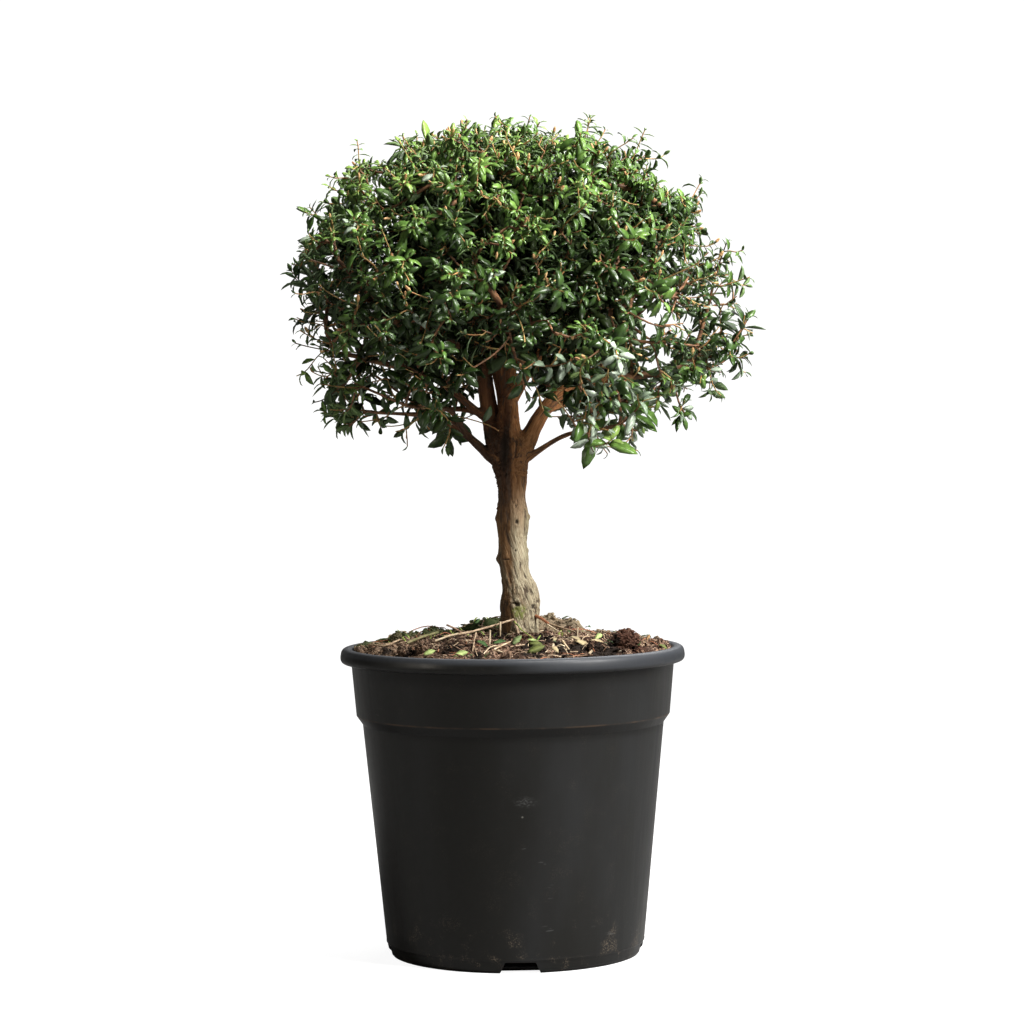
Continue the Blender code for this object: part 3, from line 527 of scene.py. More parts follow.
def compost(name, dark, light, speck):
    """Compost: dark and light brown grains, a few pale specks, greenish where moss has started, lighter
    towards the left as painted light, and near-black patches of painted shade where its clods shade each
    other.
    """
    made, tree, inputs = principled(name, dark, 0.92, 0.15)
    place = object_place(tree)
    x, y, _ = parts(place)
    grains = noise_texture(place, 480.0, 4.0, 0.65)
    ragged = product(calculated("SUBTRACT", noise_texture(place, 160.0, 2.0), 0.5), 0.022)
    warped = node(tree, "ShaderNodeVectorMath", "Vector", {0: place, 1: ragged})
    shallow = stretched(warped, (1.0, PAINTED_SHADE_DEPTH, 1.0))
    # painted light: the soil turns lighter towards the left
    painted_light_left = spread(x, -0.045, -0.115)
    back = spread(calculated("SUBTRACT", y, product(x, 0.25)), 0.004, 0.042, 0.0, 0.86)
    crust = spread(noise_texture(place, 34.0, 4.0), 0.42, 0.58, 0.10, 1.0)
    patchy = blended(spread(y, 0.040, 0.075), (1.0, 1.0, 1.0), crust)
    painted_shade = []
    for row in PAINTED_SHADE_PLACES:
        at_x, at_y, at_z, radius = metres(*row)
        gap = distance_to(shallow, (at_x, at_y * PAINTED_SHADE_DEPTH, at_z))
        painted_shade.append((spread(gap, radius, radius * 0.6, 0.0, 0.97), PAINTED_SHADE_COLOUR))
    colour = layered(
        dark,
        (spread(grains, 0.42, 0.64), blended(painted_light_left, light, PAINTED_LIGHT_COLOUR)),
        (spread(noise_texture(place, 45.0, 3.0), 0.60, 0.40), dark),
        (spread(noise_texture(place, 900.0, 1.0), 0.66, 0.72), speck),
        (product(painted_light_left, 0.22), PAINTED_LIGHT_COLOUR),
        (product(back, patchy), blended(spread(x, 0.015, -0.015), STALE_COLOUR, MOSSY_COLOUR)),
        (spread(distance_to(place, DARK_CLOD), 0.024, 0.013, 0.0, 0.72), DARK_CLOD_COLOUR),
        *painted_shade)
    plug(inputs["Base Color"], colour)
    bumped(grains, 0.0016, 0.9, inputs)
    return made


soil_finish = compost("compost", (0.032, 0.017, 0.011), (0.270, 0.165, 0.112), (0.62, 0.46, 0.34))
soil.data.materials.append(soil_finish)
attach(soil, "root")
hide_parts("soil")


def growing_tree(name, *sockets):
    """A geometry nodes tree and its inputs, and what reads a point's attribute in it and what ends it."""
    sockets = (("Geometry", "Geometry"), *sockets, ("Finish", "Material"))
    tree, inputs, end = node_group(name, "GeometryNodeTree", sockets, ("Geometry", "Geometry"))

    def finish(geometry):
        real = node(tree, "GeometryNodeRealizeInstances", "Geometry", {"Geometry": geometry})
        coated = {"Geometry": real, "Material": inputs["Finish"]}
        plug(end, node(tree, "GeometryNodeSetMaterial", "Geometry", coated))
        return tree

    def read(name, kind="FLOAT"):
        return node(tree, "GeometryNodeInputNamedAttribute", "Attribute", {"Name": name}, data_type=kind)

    return tree, inputs, read, finish


def spray_tree():
    """Geometry nodes that put small forms on points, each turned and sized as its point says."""
    tree, inputs, read, finish = growing_tree("scattered_forms", ("Forms", "Collection"))
    taken = {"Collection": inputs["Forms"], "Separate Children": True, "Reset Children": True}
    forms = node(tree, "GeometryNodeCollectionInfo", "Instances", taken)
    turn = node(tree, "FunctionNodeEulerToRotation", 0, {0: read("turn", "FLOAT_VECTOR")})
    how = {"Points": inputs["Geometry"], "Instance": forms, "Pick Instance": True, "Rotation": turn,
           "Instance Index": read("form", "INT"), "Scale": read("size")}
    return finish(node(tree, "GeometryNodeInstanceOnPoints", "Instances", how))


def grown(name, mesh, tree, **inputs):
    """An object made of that mesh by a geometry nodes tree with those named inputs, as a plain mesh."""
    made = scene_object(name, mesh)
    modifier = made.modifiers.new("grown", "NODES")
    modifier.node_group = tree
    for socket in tree.interface.items_tree:
        if socket.in_out == "INPUT" and socket.name in inputs:
            modifier[socket.identifier] = inputs[socket.name]
    settled(made)
    made.data.name = name
    return made


def noted(mesh, name, kind, values):
    """Keeps a number or vector for each point of the mesh."""
    layer = mesh.attributes.new(name, kind, "POINT").data
    values = np.array(values, np.int32 if kind == "INT" else np.float32)
    layer.foreach_set("vector" if kind == "FLOAT_VECTOR" else "value", values.ravel())


def scattered(name, places, forms, finish):
    """One piece made of the forms put at the places, each a (place, turn, size, form)."""
    spots, turns, sizes, kinds = zip(*places)
    points = bpy.data.meshes.new(name)
    points.from_pydata(spots, [], [])
    noted(points, "turn", "FLOAT_VECTOR", turns)
    noted(points, "size", "FLOAT", sizes)
    noted(points, "form", "INT", kinds)
    return grown(name, points, scattered_forms, Forms=forms, Finish=finish)


def form_collection(name, meshes):
    made = bpy.data.collections.new(name)
    for i, mesh in enumerate(meshes):
        made.objects.link(bpy.data.objects.new(f"{name}_{i}", mesh))
    return made


def put_away(*collections):
    for form in [form for collection in collections for form in collection.objects]:
        bpy.data.objects.remove(form, do_unlink=True)


def crumb(seed, stretch, detail):
    """An uneven lump a unit across, or a splinter where it is stretched."""
    shape = bmesh.new()
    bmesh.ops.create_icosphere(shape, subdivisions=detail, radius=1.0)
    for vertex in shape.verts:
        uneven = noise.noise(vertex.co * 1.7 + Vector((seed, 0, 0))) + 0.4 * noise.noise(vertex.co * 4.5)
        x, y, z = vertex.co * (0.85 + 0.45 * uneven)
        vertex.co = (x * stretch, y / stretch ** 0.5, z * 0.72 / stretch ** 0.5)
    return finished("crumb", shape)


def random_turn(tilt):
    return dice.uniform(-tilt, tilt), dice.uniform(-tilt, tilt), dice.uniform(0, 6.3)


def soil_spot(inner=0.017):
    """A random place on the soil, as x and y."""
    radius = math.sqrt(dice.uniform((inner / soil_edge) ** 2, 1.0)) * (soil_edge - 0.002)
    angle = dice.uniform(0, 2 * math.pi)
    return radius * math.cos(angle), radius * math.sin(angle)


scattered_forms = spray_tree()
crumb_meshes = [crumb(3.7 * i, stretch, 1) for i, stretch in enumerate(CRUMB_STRETCHES)]
crumb_forms = form_collection("crumb_forms", crumb_meshes)
clod_forms = form_collection("clod_forms", [crumb(1.3 + 2.9 * i, 1.0, 2) for i in range(4)])
lumps = [(Vector(metres(*lump[:3])), lump[3] / 1000) for lump in LUMPS]
while len(lumps) < LUMP_COUNT:
    x, y = soil_spot(0.026)
    radius = between(LUMP_RADII, dice.random() ** 2)
    lumps.append((Vector((x, y, soil_height(x, y) - 0.3 * radius)), radius))
places = [(spot, random_turn(0.5), radius, dice.randrange(4)) for spot, radius in lumps]
clod_finish = compost("clods", (0.040, 0.020, 0.013), (0.290, 0.160, 0.100), (0.55, 0.40, 0.28))
clods = scattered("clods", places, clod_forms, clod_finish)
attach(clods, "root")
CRUMBS = (
    ("dark_crumbs", 4600, 3, "dark_compost", (0.030, 0.016, 0.011), (0.19, 0.108, 0.072), (0.36, 0.27, 0.19)),
    ("pale_crumbs", 2500, 3, "pale_compost", (0.165, 0.103, 0.068), (0.46, 0.33, 0.23), (0.72, 0.62, 0.47)),
    ("bark_chips", 320, 1.4, "bark_chips", (0.110, 0.045, 0.024), (0.36, 0.18, 0.10), (0.50, 0.33, 0.22)))
# A row of crumbs: name, count, power that makes them smaller, and their material with its three colours
for name, count, smallness, *finish in CRUMBS:
    places = []
    for _ in range(count):
        size = between(CRUMB_RADII, dice.random() ** smallness)
        if name != "pale_crumbs" and dice.random() < LUMP_CRUMB_SHARE:
            middle, radius = lumps[dice.randrange(len(LUMPS))]
            way = Vector([dice.gauss(0, 1) for _ in range(3)]).normalized()
            spot = middle + way * radius * 0.98
            size = dice.uniform(*LUMP_CRUMBS)
        else:
            x, y = soil_spot()
            spot = Vector((x, y, soil_height(x, y) + size * 0.3))
        if spot.xy.length < soil_edge - size:
            places.append((spot, random_turn(0.5), size, dice.randrange(4)))
    crumbs = scattered(name, places, crumb_forms, compost(*finish))
    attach(crumbs, "root")
put_away(crumb_forms, clod_forms)

# Litter on the soil: straw, bits of dry stem and fine root, tan to red-brown, and a few sprigs of green weed.
# The pieces lie where they fell, some leaning on the trunk's foot or standing stuck in the soil.
STRAW_COUNT = 420
STRAW_LENGTHS = (0.005, 0.028)
STRAW_RADII = (0.00018, 0.00048)
STRAW_RING = (0.022, 0.120)  # how far from the trunk's middle it lies
WEED_COUNT = 60
WEED_RADII = (0.0005, 0.0008, 0.0006, 0.0001)
TWIG_SIDES = 5
STICKS = (
    ("straw", 0.95, (-61.2, -65.6, 258.2), (-52.1, -64, 261.2), (-42.6, -62.4, 263.7)),
    ("pale", 1.15, (-54.3, -57.5, 260.8), (-31.9, -39.7, 263.5), (-15.9, -28, 267), (1, -16.5, 271.3)),
    ("brown", 0.85, (-52.7, -34.9, 268.7), (-46.3, -33.2, 265.8), (-39.1, -33.2, 261.7)),
    ("pale", 0.6, (-28.6, -75.4, 265.2), (-30.2, -85.1, 258.1), (-31.2, -101.3, 252.1)),
    ("straw", 0.85, (-17.6, -69.7, 266.7), (-18.1, -69.3, 254.7)),
    ("straw", 0.85, (-9.7, -30, 270.5), (-9.9, -29, 258)),
    ("pale", 1.3, (2.1, -17.5, 270.6), (3, -19, 267), (4.7, -20, 260)),
    ("weed", 0.65, (1.6, -19, 269.8), (7.3, -31.6, 263.8), (16, -54.3, 258.9)),
    ("mossy", 1.3, (-83.8, -43.8, 255.4), (-71.8, -43, 260), (-59, -42.1, 263.4)),
    ("pale", 0.95, (-115, -30, 253.3), (-101.5, -59.2, 254.1), (-95.3, -54.3, 256.2), (-90.1, -46.2, 258)),
    ("root", 1.5, (19, -8.5, 273.5), (24.5, -13, 271), (30.4, -20, 266.8)),
    ("pale", 0.85, (30, -20, 267.5), (38.8, -26, 265.2), (49.8, -34.1, 262.3)),
    ("straw", 0.7, (28.3, -24, 267.5), (35.4, -33.2, 263.3), (43.2, -42.1, 260.6)),
    ("straw", 0.6, (52.4, -38.9, 266.2), (52.1, -38.1, 258.1)),
    ("pale", 0.5, (72.3, -59.2, 261.8), (73, -60.8, 258.4), (76.4, -62.4, 256)),
    ("straw", 0.8, (39.3, -80.2, 258.5), (42.3, -85.1, 254.6), (45.3, -91.6, 250.8)),
    ("pale", 0.8, (-1.6, -91.6, 254.8), (9.8, -89.9, 256.3)),
    ("straw", 0.7, (-14.4, -96.4, 253.4), (-1.5, -85.1, 258.6)),
    ("straw", 1.3, (31.7, -76.6, 253.4), (32.1, -76.6, 255.9)),
    ("straw", 1.1, (59.8, -108.2, 250.3), (62, -108.2, 252.8)))  # colour, radius, places
STICK_COLOURS = {
    "straw": ((0.42, 0.31, 0.19), (0.72, 0.60, 0.42)), "brown": ((0.16, 0.085, 0.048), (0.36, 0.23, 0.15)),
    "pale": ((0.27, 0.18, 0.11), (0.52, 0.39, 0.26)), "mossy": ((0.20, 0.21, 0.09), (0.42, 0.36, 0.20)),
    "root": ((0.26, 0.085, 0.038), (0.42, 0.18, 0.09)), "weed": ((0.11, 0.19, 0.03), (0.36, 0.42, 0.10))}
STRAW_COLOURS = ("straw", "pale", "pale", "brown", "brown", "root")


def twig_tree():
    """Geometry nodes that turn chains of edges into round twigs as thick as the attribute says."""
    tree, inputs, read, finish = growing_tree("round_twigs", ("Sides", "Int", TWIG_SIDES))
    chain = node(tree, "GeometryNodeMeshToCurve", "Curve", {"Mesh": inputs["Geometry"]})
    thick = read("thickness")
    sized = node(tree, "GeometryNodeSetCurveRadius", "Curve", {"Curve": chain, "Radius": thick})
    circle = {"Resolution": inputs["Sides"], "Radius": 1.0}
    ring = node(tree, "GeometryNodeCurvePrimitiveCircle", "Curve", circle)
    how = {"Curve": sized, "Profile Curve": ring, "Scale": thick, "Fill Caps": True}
    return finish(node(tree, "GeometryNodeCurveToMesh", "Mesh", how))


def round_sticks(name, sticks, finish):
    """One piece of round sticks, each given as its line of points and their radii."""
    chains = bmesh.new()
    thicknesses = []
    for line, radii in sticks:
        points = [chains.verts.new(point) for point in line]
        for pair in zip(points, points[1:]):
            chains.edges.new(pair)
        thicknesses += radii
    mesh = finished(name, chains)
    noted(mesh, "thickness", "FLOAT", thicknesses)
    made = grown(name, mesh, round_twigs, Finish=finish)
    made.data.shade_smooth()
    return made


def twig_bark(name, old, young):
    """Smooth thin bark or straw, streaked with its lighter and darker colour."""
    made, tree, inputs = principled(name, old, 0.62, 0.35)
    place = object_place(tree)
    plug(inputs["Base Color"], blended(spread(noise_texture(place, 260.0, 3.0), 0.35, 0.65), old, young))
    bumped(noise_texture(place, 1400.0, 2.0), 0.0002, 0.5, inputs)
    return made


round_twigs = twig_tree()
litter = {name: [] for name in STICK_COLOURS}
for colour, thickness, *points in STICKS:
    line = [Vector(metres(*point)) for point in points]
    litter[colour].append((line, [thickness / 1000 * share for share in np.linspace(1.0, 0.8, len(line))]))
for _ in range(STRAW_COUNT):
    out, angle = between(STRAW_RING, math.sqrt(dice.random())), dice.uniform(0, 2 * math.pi)
    foot = Vector((out * math.cos(angle), out * math.sin(angle), 0.0))
    pointing = dice.uniform(0, 2 * math.pi)
    length = between(STRAW_LENGTHS, dice.random() ** 2)
    radius, bow, lift = dice.uniform(*STRAW_RADII), dice.uniform(-0.10, 0.10), dice.uniform(-0.0005, 0.0030)
    along = Vector((math.cos(pointing), math.sin(pointing), 0.0)) * length
    ends = [foot, foot + along]
    if ends[1].xy.length > soil_edge - 0.001:
        continue
    for point in ends:
        point.z = soil_height(point.x, point.y) + radius
    line = []
    for step in range(6):
        share = step / 5
        arch = math.sin(math.pi * share)
        sideways = along.cross(Vector((0, 0, 1))) * bow * arch
        line.append(ends[0].lerp(ends[1], share) + sideways + Vector((0, 0, lift * arch)))
    litter[dice.choice(STRAW_COLOURS)].append((line, [radius] * len(line)))
for i in range(WEED_COUNT):
    angle = dice.uniform(2.5, 3.6) if i % 3 else dice.uniform(0, 6.3)
    out = dice.uniform(0.025, 0.100)
    x, y = out * math.cos(angle), out * math.sin(angle)
    lean, height = dice.uniform(0, 6.3), dice.uniform(0.002, 0.006)
    foot = Vector((x, y, soil_height(x, y) - 0.001))
    line = []
    for s in (0, 0.4, 0.75, 1.0):
        bowed = math.cos(lean) * s * s * height * 0.7, math.sin(lean) * s * s * height * 0.7
        line.append(foot + Vector((*bowed, s * height)))
    litter["weed"].append((line, WEED_RADII))
for name, sticks in litter.items():
    piece = round_sticks(f"litter_{name}", sticks, twig_bark(f"litter_{name}", *STICK_COLOURS[name]))
    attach(piece, "root")

# Fallen leaves on the soil and on the pot's rim: yellow-green ones that fell lately, and curled brown ones.
# They have the form of the crown's own leaves: folded along the middle, bent back and pointed.
LEAF_STATIONS = ((0.22, 0.34), (0.50, 0.50), (0.78, 0.31))  # shares of its length and of its width
LEAF_THICKNESS = 0.022
LEAF_FORMS = ((0.60, 0.24, 0.00, 0.40), (1.10, 0.34, 0.14, 0.36), (0.30, 0.16, -0.16, 0.46),
              (1.60, 0.30, 0.08, 0.34), (0.70, 0.40, 0.10, 0.28), (1.30, 0.36, -0.10, 0.30),
              (0.45, 0.14, 0.22, 0.50))
# A form's row: bend, fold, twist, and width as a share of its length
FALLEN = (
    (-70, -104, 250, 28, 60, 12, "pale", 0),
    (-46.1, -113, 249.2, 26, 58, 14, "pale", 0),
    (-0.8, -85.9, 255.6, 48, 60, 12.5, "sage", 2),
    (-29.3, -83.5, 259.1, -12, 45, 14, "green", 5),
    (-16.4, -81.8, 256.5, 24, 45, 14.5, "green", 4),
    (65.3, -59.2, 256.7, 52, 60, 12.5, "pale", 1),
    (10.9, -107.9, 251.1, 26, 58, 16.5, "olive", 2),
    (36, -107.9, 250.8, 124, 50, 13.5, "straw", 1),
    (10.9, -83.5, 259.6, 2, 35, 11, "pale", 4),
    (11.9, -83.9, 257.8, -14, 60, 13.5, "olive", 2),
    (44.4, -62.4, 260.1, -4, 30, 16, "straw", 5),
    (48.3, -65.6, 257.2, -9, 35, 20, "straw", 3),
    (60.4, -69.7, 257.4, 9, 30, 13, "straw", 4),
    (106.5, -55.1, 255.9, 64, 55, 7, "brown", 2),
    (98.5, -74, 252.8, 72, 65, 7.5, "green", 2),
    (-30, -30.8, 269, 60, 40, 8, "green", 2))
# A fallen leaf's row: x, y, z, degrees turned, degrees leaning, length, colour, form
FALLEN_COUNT = 44
FALLEN_COLOURS = {
    "green": (0.050, 0.100, 0.030), "pale": (0.330, 0.420, 0.150), "sage": (0.160, 0.210, 0.085),
    "olive": (0.090, 0.105, 0.028), "straw": (0.340, 0.270, 0.155), "brown": (0.240, 0.140, 0.062)}


def leaf_form(name, bend, fold, twist, width):
    """One leaf, a unit long, lying along +Y with its upper face to +Z: a folded, recurved, closed blade."""
    shape = bmesh.new()
    rings = []
    for along, half in ((0.0, 0.0), *LEAF_STATIONS, (1.0, 0.0)):
        half = half * width
        droop = (math.cos(bend * along) - 1) / bend + 0.08 * along
        spine = Vector((0.0, math.sin(bend * along) / bend, droop))
        turn = Matrix.Rotation(-bend * along, 3, "X") @ Matrix.Rotation(twist * along, 3, "Y")
        corners = [(-half, fold * half), (0.0, 0.0), (half, fold * half), (0.0, -LEAF_THICKNESS)]
        if half == 0:
            corners = corners[1:2]
        ring = [shape.verts.new(spine + turn @ Vector((x, 0.0, z))) for x, z in corners]
        rings.append(ring * 4 if half == 0 else ring)
    layer = shape.faces.layers.float.new("underside")
    for low, high in zip(rings, rings[1:]):
        for k in range(4):
            corners = (low[k], low[(k + 1) % 4], high[(k + 1) % 4], high[k])
            face = shape.faces.new(list(dict.fromkeys(corners)))
            face[layer] = 1.0 if k > 1 else 0.0
            face.smooth = True
    bmesh.ops.recalc_face_normals(shape, faces=shape.faces)
    bmesh.ops.triangulate(shape, faces=shape.faces)
    return finished(name, shape)


def attribute(tree, name, output="Fac"):
    return node(tree, "ShaderNodeAttribute", output, {}, attribute_name=name)


def leaf_green(name, colour, gloss=0.5, roughness=0.32):
    """Glossy leaf: one green, paler and duller underneath, with faint mottling and dented by its veins."""
    made, tree, inputs = principled(name, colour, 0.36, gloss)
    place = object_place(tree)
    darker, lighter = (tuple(value * share for value in colour) for share in (0.78, 1.22))
    pale = tuple(0.55 * value + 0.45 * grey for value, grey in zip(colour, (0.100, 0.146, 0.068)))
    under = attribute(tree, "underside")
    upper = blended(spread(noise_texture(place, 240.0, 2.0), 0.35, 0.65), darker, lighter)
    plug(inputs["Base Color"], blended(under, upper, pale))
    plug(inputs["Roughness"], spread(under, 0.0, 1.0, roughness, 0.62))
    bumped(noise_texture(place, 900.0, 2.0), 0.0003, 0.35, inputs)
    return made


leaf_meshes = [leaf_form(f"leaf_{i}", *form) for i, form in enumerate(LEAF_FORMS)]
leaf_forms = form_collection("leaf_forms", leaf_meshes)
fallen = {name: [] for name in FALLEN_COLOURS}
for x, y, z, turn, lean, length, colour, form in FALLEN:
    turn, lean = math.radians(turn), math.radians(lean)
    face = Vector((0.0, -math.sin(lean), math.cos(lean)))
    way = Vector((math.cos(turn), math.sin(turn) * math.cos(lean), math.sin(turn) * math.sin(lean)))
    turned_to = Matrix((way.cross(face), way, face)).transposed().to_euler()
    fallen[colour].append((metres(x, y, z), turned_to, length / 1000, form))
for _ in range(FALLEN_COUNT):
    x, y = soil_spot(0.026)
    colour = dice.choice(("green", "sage", "olive", "straw", "brown", "brown"))
    spot = (x, y, soil_height(x, y) + 0.003)
    fallen[colour].append((spot, random_turn(0.45), dice.uniform(0.007, 0.014), dice.randrange(1, 6)))
for name, places in fallen.items():
    finish = leaf_green(f"fallen_leaf_{name}", FALLEN_COLOURS[name], 0.2, 0.60)
    piece = scattered(f"fallen_leaves_{name}", places, leaf_forms, finish)
    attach(piece, "root")


# The trunk and its limbs: one gnarled stem that was cut back when young, and forks into two stems and low
# boughs. The wood is alive and grown together, so it is one skin, with long fibres, peeled strips and knots.
# A row of the trunk: height, sideways place, radius
TRUNK = ((259.3, 5.6, 16), (269, 5.8, 15.4), (281.6, 6, 16.3), (292.5, 6.4, 15), (303.6, 3.7, 12.2),
         (313, 2.4, 11.8), (320.7, 1.9, 12.6), (332, 1.5, 11.4), (352.5, 1.4, 13.4), (369.5, 0.5, 11),
         (385, 0.4, 12.4), (398, -0.4, 14.6), (409, -0.6, 16.6), (418, -0.8, 13.8))
TRUNK_CAP = ((421.5, -0.8, 9.5), (423.5, -0.8, 4.5))
ROOT_FLARE = 0.16  # how far the roots' ridges stand out at the ground, as a share of the radius
ROOT_RIDGES = 5
FLARE_HEIGHT = 0.018
BASE_SWELLING = 0.30  # how much a limb thickens where it leaves its parent
WOOD_VOXEL = 0.00092
SMOOTHING_ROUNDS = 5
TRUNK_SIDES = 48
LIMB_SIDES = 16
LIMB_STEPS = 40
# at is the share of its parent's length where a limb starts; leave and arrive are azimuth and elevation.
Limb = namedtuple("Limb", "name parent at tip leave arrive radii bend start", defaults=(0.33, (0, 0)))
LIMB_ROWS = (
    ("stem_left", "trunk", 0.9, (-56, 10, 583), (176, 70), (172, 52), (7.4, 4.2), 0.38, (-6, 4)),
    ("stem_centre", "trunk", 0.86, (-10, 4, 612), (200, 89), (150, 84), (8.6, 4), 0.33, (0, -3)),
    ("bough_right", "trunk", 0.86, (87, -6, 466), (356, 63), (356, 4), (6.8, 3.8), 0.5, (4, -2)),
    ("bough_left_low", "trunk", 0.86, (-73, -8, 437.5), (180, 40), (188, 2), (3.8, 2.6), 0.36, (-8, 0)),
    ("bough_right_low", "trunk", 0.86, (56, -22, 422.5), (345, 26), (338, 6), (2.8, 1.9), 0.33, (4, -2)),
    ("bough_back", "trunk", 0.9, (-30, 74, 505), (95, 52), (112, 6), (6, 3.4), 0.4, (0, 4)),
    ("bough_left", "stem_left", 0.16, (-74, -4, 472), (186, 30), (180, 14), (3.4, 2.6)),
    ("bough_front_left", "stem_left", 0.36, (-64, -56, 506), (226, 30), (222, 6), (3.6, 2.6)),
    ("bough_upper_front", "stem_left", 0.62, (-18, -54, 584), (268, 40), (252, 44), (3.6, 2.6)),
    ("bough_front_right", "stem_centre", 0.26, (56, -62, 510), (316, 34), (312, 8), (3.6, 2.6)),
    ("bough_front", "stem_centre", 0.4, (-4, -80, 516), (262, 40), (268, 4), (3.6, 2.6)),
    ("bough_upper_right", "stem_centre", 0.52, (48, -26, 584), (330, 42), (324, 44), (3.8, 2.6)),
    ("bough_upper_right_back", "stem_centre", 0.6, (43, 35, 585), (40, 38), (36, 44), (3.6, 2.6)),
    ("bough_upper_back", "stem_centre", 0.74, (-20, 54, 586), (108, 24), (108, 44), (3.4, 2.6)),
    ("bough_back_right", "bough_back", 0.3, (42, 66, 505), (40, 46), (58, 6), (3.8, 2.8)),
    ("bough_back_low", "bough_back", 0.22, (-44, 52, 442), (140, 20), (126, -2), (3.2, 2.4)),
    ("bough_right_back_low", "bough_right", 0.44, (64, 38, 448), (50, 6), (28, -2), (3.4, 2.4)),
    ("bough_front_low", "bough_left_low", 0.42, (-54, -48, 442), (240, 20), (226, 2), (2.6, 2)))
LIMBS = [Limb(*row) for row in LIMB_ROWS]


def heading(azimuth, elevation):
    """The unit vector that points that way. Azimuth 0 is +X and 270 the front."""
    a, e = math.radians(azimuth), math.radians(elevation)
    return Vector((math.cos(a) * math.cos(e), math.sin(a) * math.cos(e), math.sin(e)))


def length_of(line):
    return sum((b - a).length for a, b in zip(line, line[1:]))


def point_along(line, share):
    """The point at a share of a polyline's length."""
    left = share * length_of(line)
    for start, end in zip(line, line[1:]):
        length = (end - start).length
        if left <= length:
            return start.lerp(end, left / length)
        left -= length
    return line[-1].copy()


def curved(start, start_way, end, end_way, handle, steps):
    """Points on the cubic curve that leaves start along start_way and comes to end along end_way."""
    near, far = start + start_way * handle, end - end_way * handle
    points = []
    for step in range(steps + 1):
        t = step / steps
        s = 1 - t
        points.append(s**3 * start + 3 * s * s * t * near + 3 * s * t * t * far + t**3 * end)
    return points


def smooth_rows(rows, steps):
    """Rows of numbers with smooth in-between rows, on curves through the given ones."""
    out = []
    table = np.array([rows[0], *rows, rows[-1]], float)
    for i in range(1, len(table) - 2):
        a, b, c, d = table[i - 1:i + 3]
        for step in range(steps):
            t = step / steps
            out.append(b + 0.5 * t * (c - a + t * (2 * a - 5 * b + 4 * c - d + t * (3 * (b - c) + d - a))))
    return out + [table[-1]]


def way_at(line, i):
    """The line's direction at its point i."""
    return (line[min(i + 1, len(line) - 1)] - line[max(i - 1, 0)]).normalized()


def tube(shape, centres, radii, sides, ridge=lambda centre, angle: 1.0):
    """Adds a closed tapering tube to a bmesh, through rings of the given radii, with domed ends."""
    side = way_at(centres, 0).orthogonal().normalized()
    rings = []
    for i, (centre, radius) in enumerate(zip(centres, radii)):
        way = way_at(centres, i)
        side = (side - way * side.dot(way)).normalized()
        other = way.cross(side)
        ring = []
        for angle in (2 * math.pi * k / sides for k in range(sides)):
            spoke = side * math.cos(angle) + other * math.sin(angle)
            ring.append(shape.verts.new(centre + spoke * radius * ridge(centre, angle)))
        rings.append(ring)
    for low, high in zip(rings, rings[1:]):
        for k in range(sides):
            shape.faces.new((low[k], low[(k + 1) % sides], high[(k + 1) % sides], high[k]))
    for end, turn in ((0, -1), (-1, 1)):
        ring, centre = rings[end], centres[end]
        way = way_at(centres, len(centres) - 1 if turn > 0 else 0) * turn
        pole = shape.verts.new(centre + way * (ring[0].co - centre).length * 0.5)
        for k in range(sides):
            shape.faces.new((ring[k], ring[(k + turn) % sides], pole))


def root_ridge(centre, angle):
    flare = max(0.0, 1.0 - (centre.z - GROUND) / FLARE_HEIGHT)
    ripple = 0.030 * math.sin(3 * angle + centre.z * 60) + 0.022 * math.sin(7 * angle - centre.z * 45)
    return 1.0 + ripple + ROOT_FLARE * flare * flare * (0.35 + math.cos(ROOT_RIDGES * angle + 0.6))


trunk_rows = smooth_rows([metres(*row) for row in TRUNK], 4) + [np.array(metres(*row)) for row in TRUNK_CAP]
trunk_line = [Vector((x, 0.0, z)) for z, x, _ in trunk_rows]
lines = {"trunk": [Vector((x, 0.0, z)) for z, x, _ in (metres(*row) for row in TRUNK)]}
skin = bmesh.new()
tube(skin, trunk_line, [radius for _, _, radius in trunk_rows], TRUNK_SIDES, root_ridge)
for limb in LIMBS:
    start = point_along(lines[limb.parent], limb.at) + Vector((*metres(*limb.start), 0.0))
    tip_x, tip_y, tip_z = metres(*limb.tip)
    tip = Vector((tip_x, tip_y, tip_z))
    handle = (tip - start).length * limb.bend
    line = curved(start, heading(*limb.leave), tip, heading(*limb.arrive), handle, LIMB_STEPS)
    lines[limb.name] = line
    foot_radius, tip_radius = metres(*limb.radii)
    parent_radius = 0.014 if limb.parent == "trunk" else 0.005
    length = length_of(line)
    radii = []
    for i in range(len(line)):
        along = length * i / (len(line) - 1)
        out = max(along - parent_radius, 0.0) / (2.2 * foot_radius)
        knobs = 1 + 0.10 * noise.noise(Vector((along * 110, tip_x * 50, tip_y * 50)))
        taper = foot_radius + (tip_radius - foot_radius) * along / length
        radii.append(taper * knobs * (1 + BASE_SWELLING * math.exp(-out)))
    tube(skin, line, radii, LIMB_SIDES)
wood = scene_object("trunk_and_boughs", finished("trunk_and_boughs", skin))
remesh = wood.modifiers.new("grown together", "REMESH")
remesh.mode = "VOXEL"
remesh.voxel_size = WOOD_VOXEL
settled(wood)

# The bark's relief. Each point of the skin is placed along and round its nearest limb, so that the fibres
# follow the limb, and moves out or in by the ridges there. The numbers stay on the mesh for its colours.
RELIEF_DEPTH = 0.0011
RELIEF_SHARE = 0.105  # the relief of a thin limb, as a share of its radius
RIDGES = ((0.50, 0.0052, 0.060, 0.0), (0.32, 0.0022, 0.026, 7.3), (0.18, 0.0011, 0.009, 3.1))
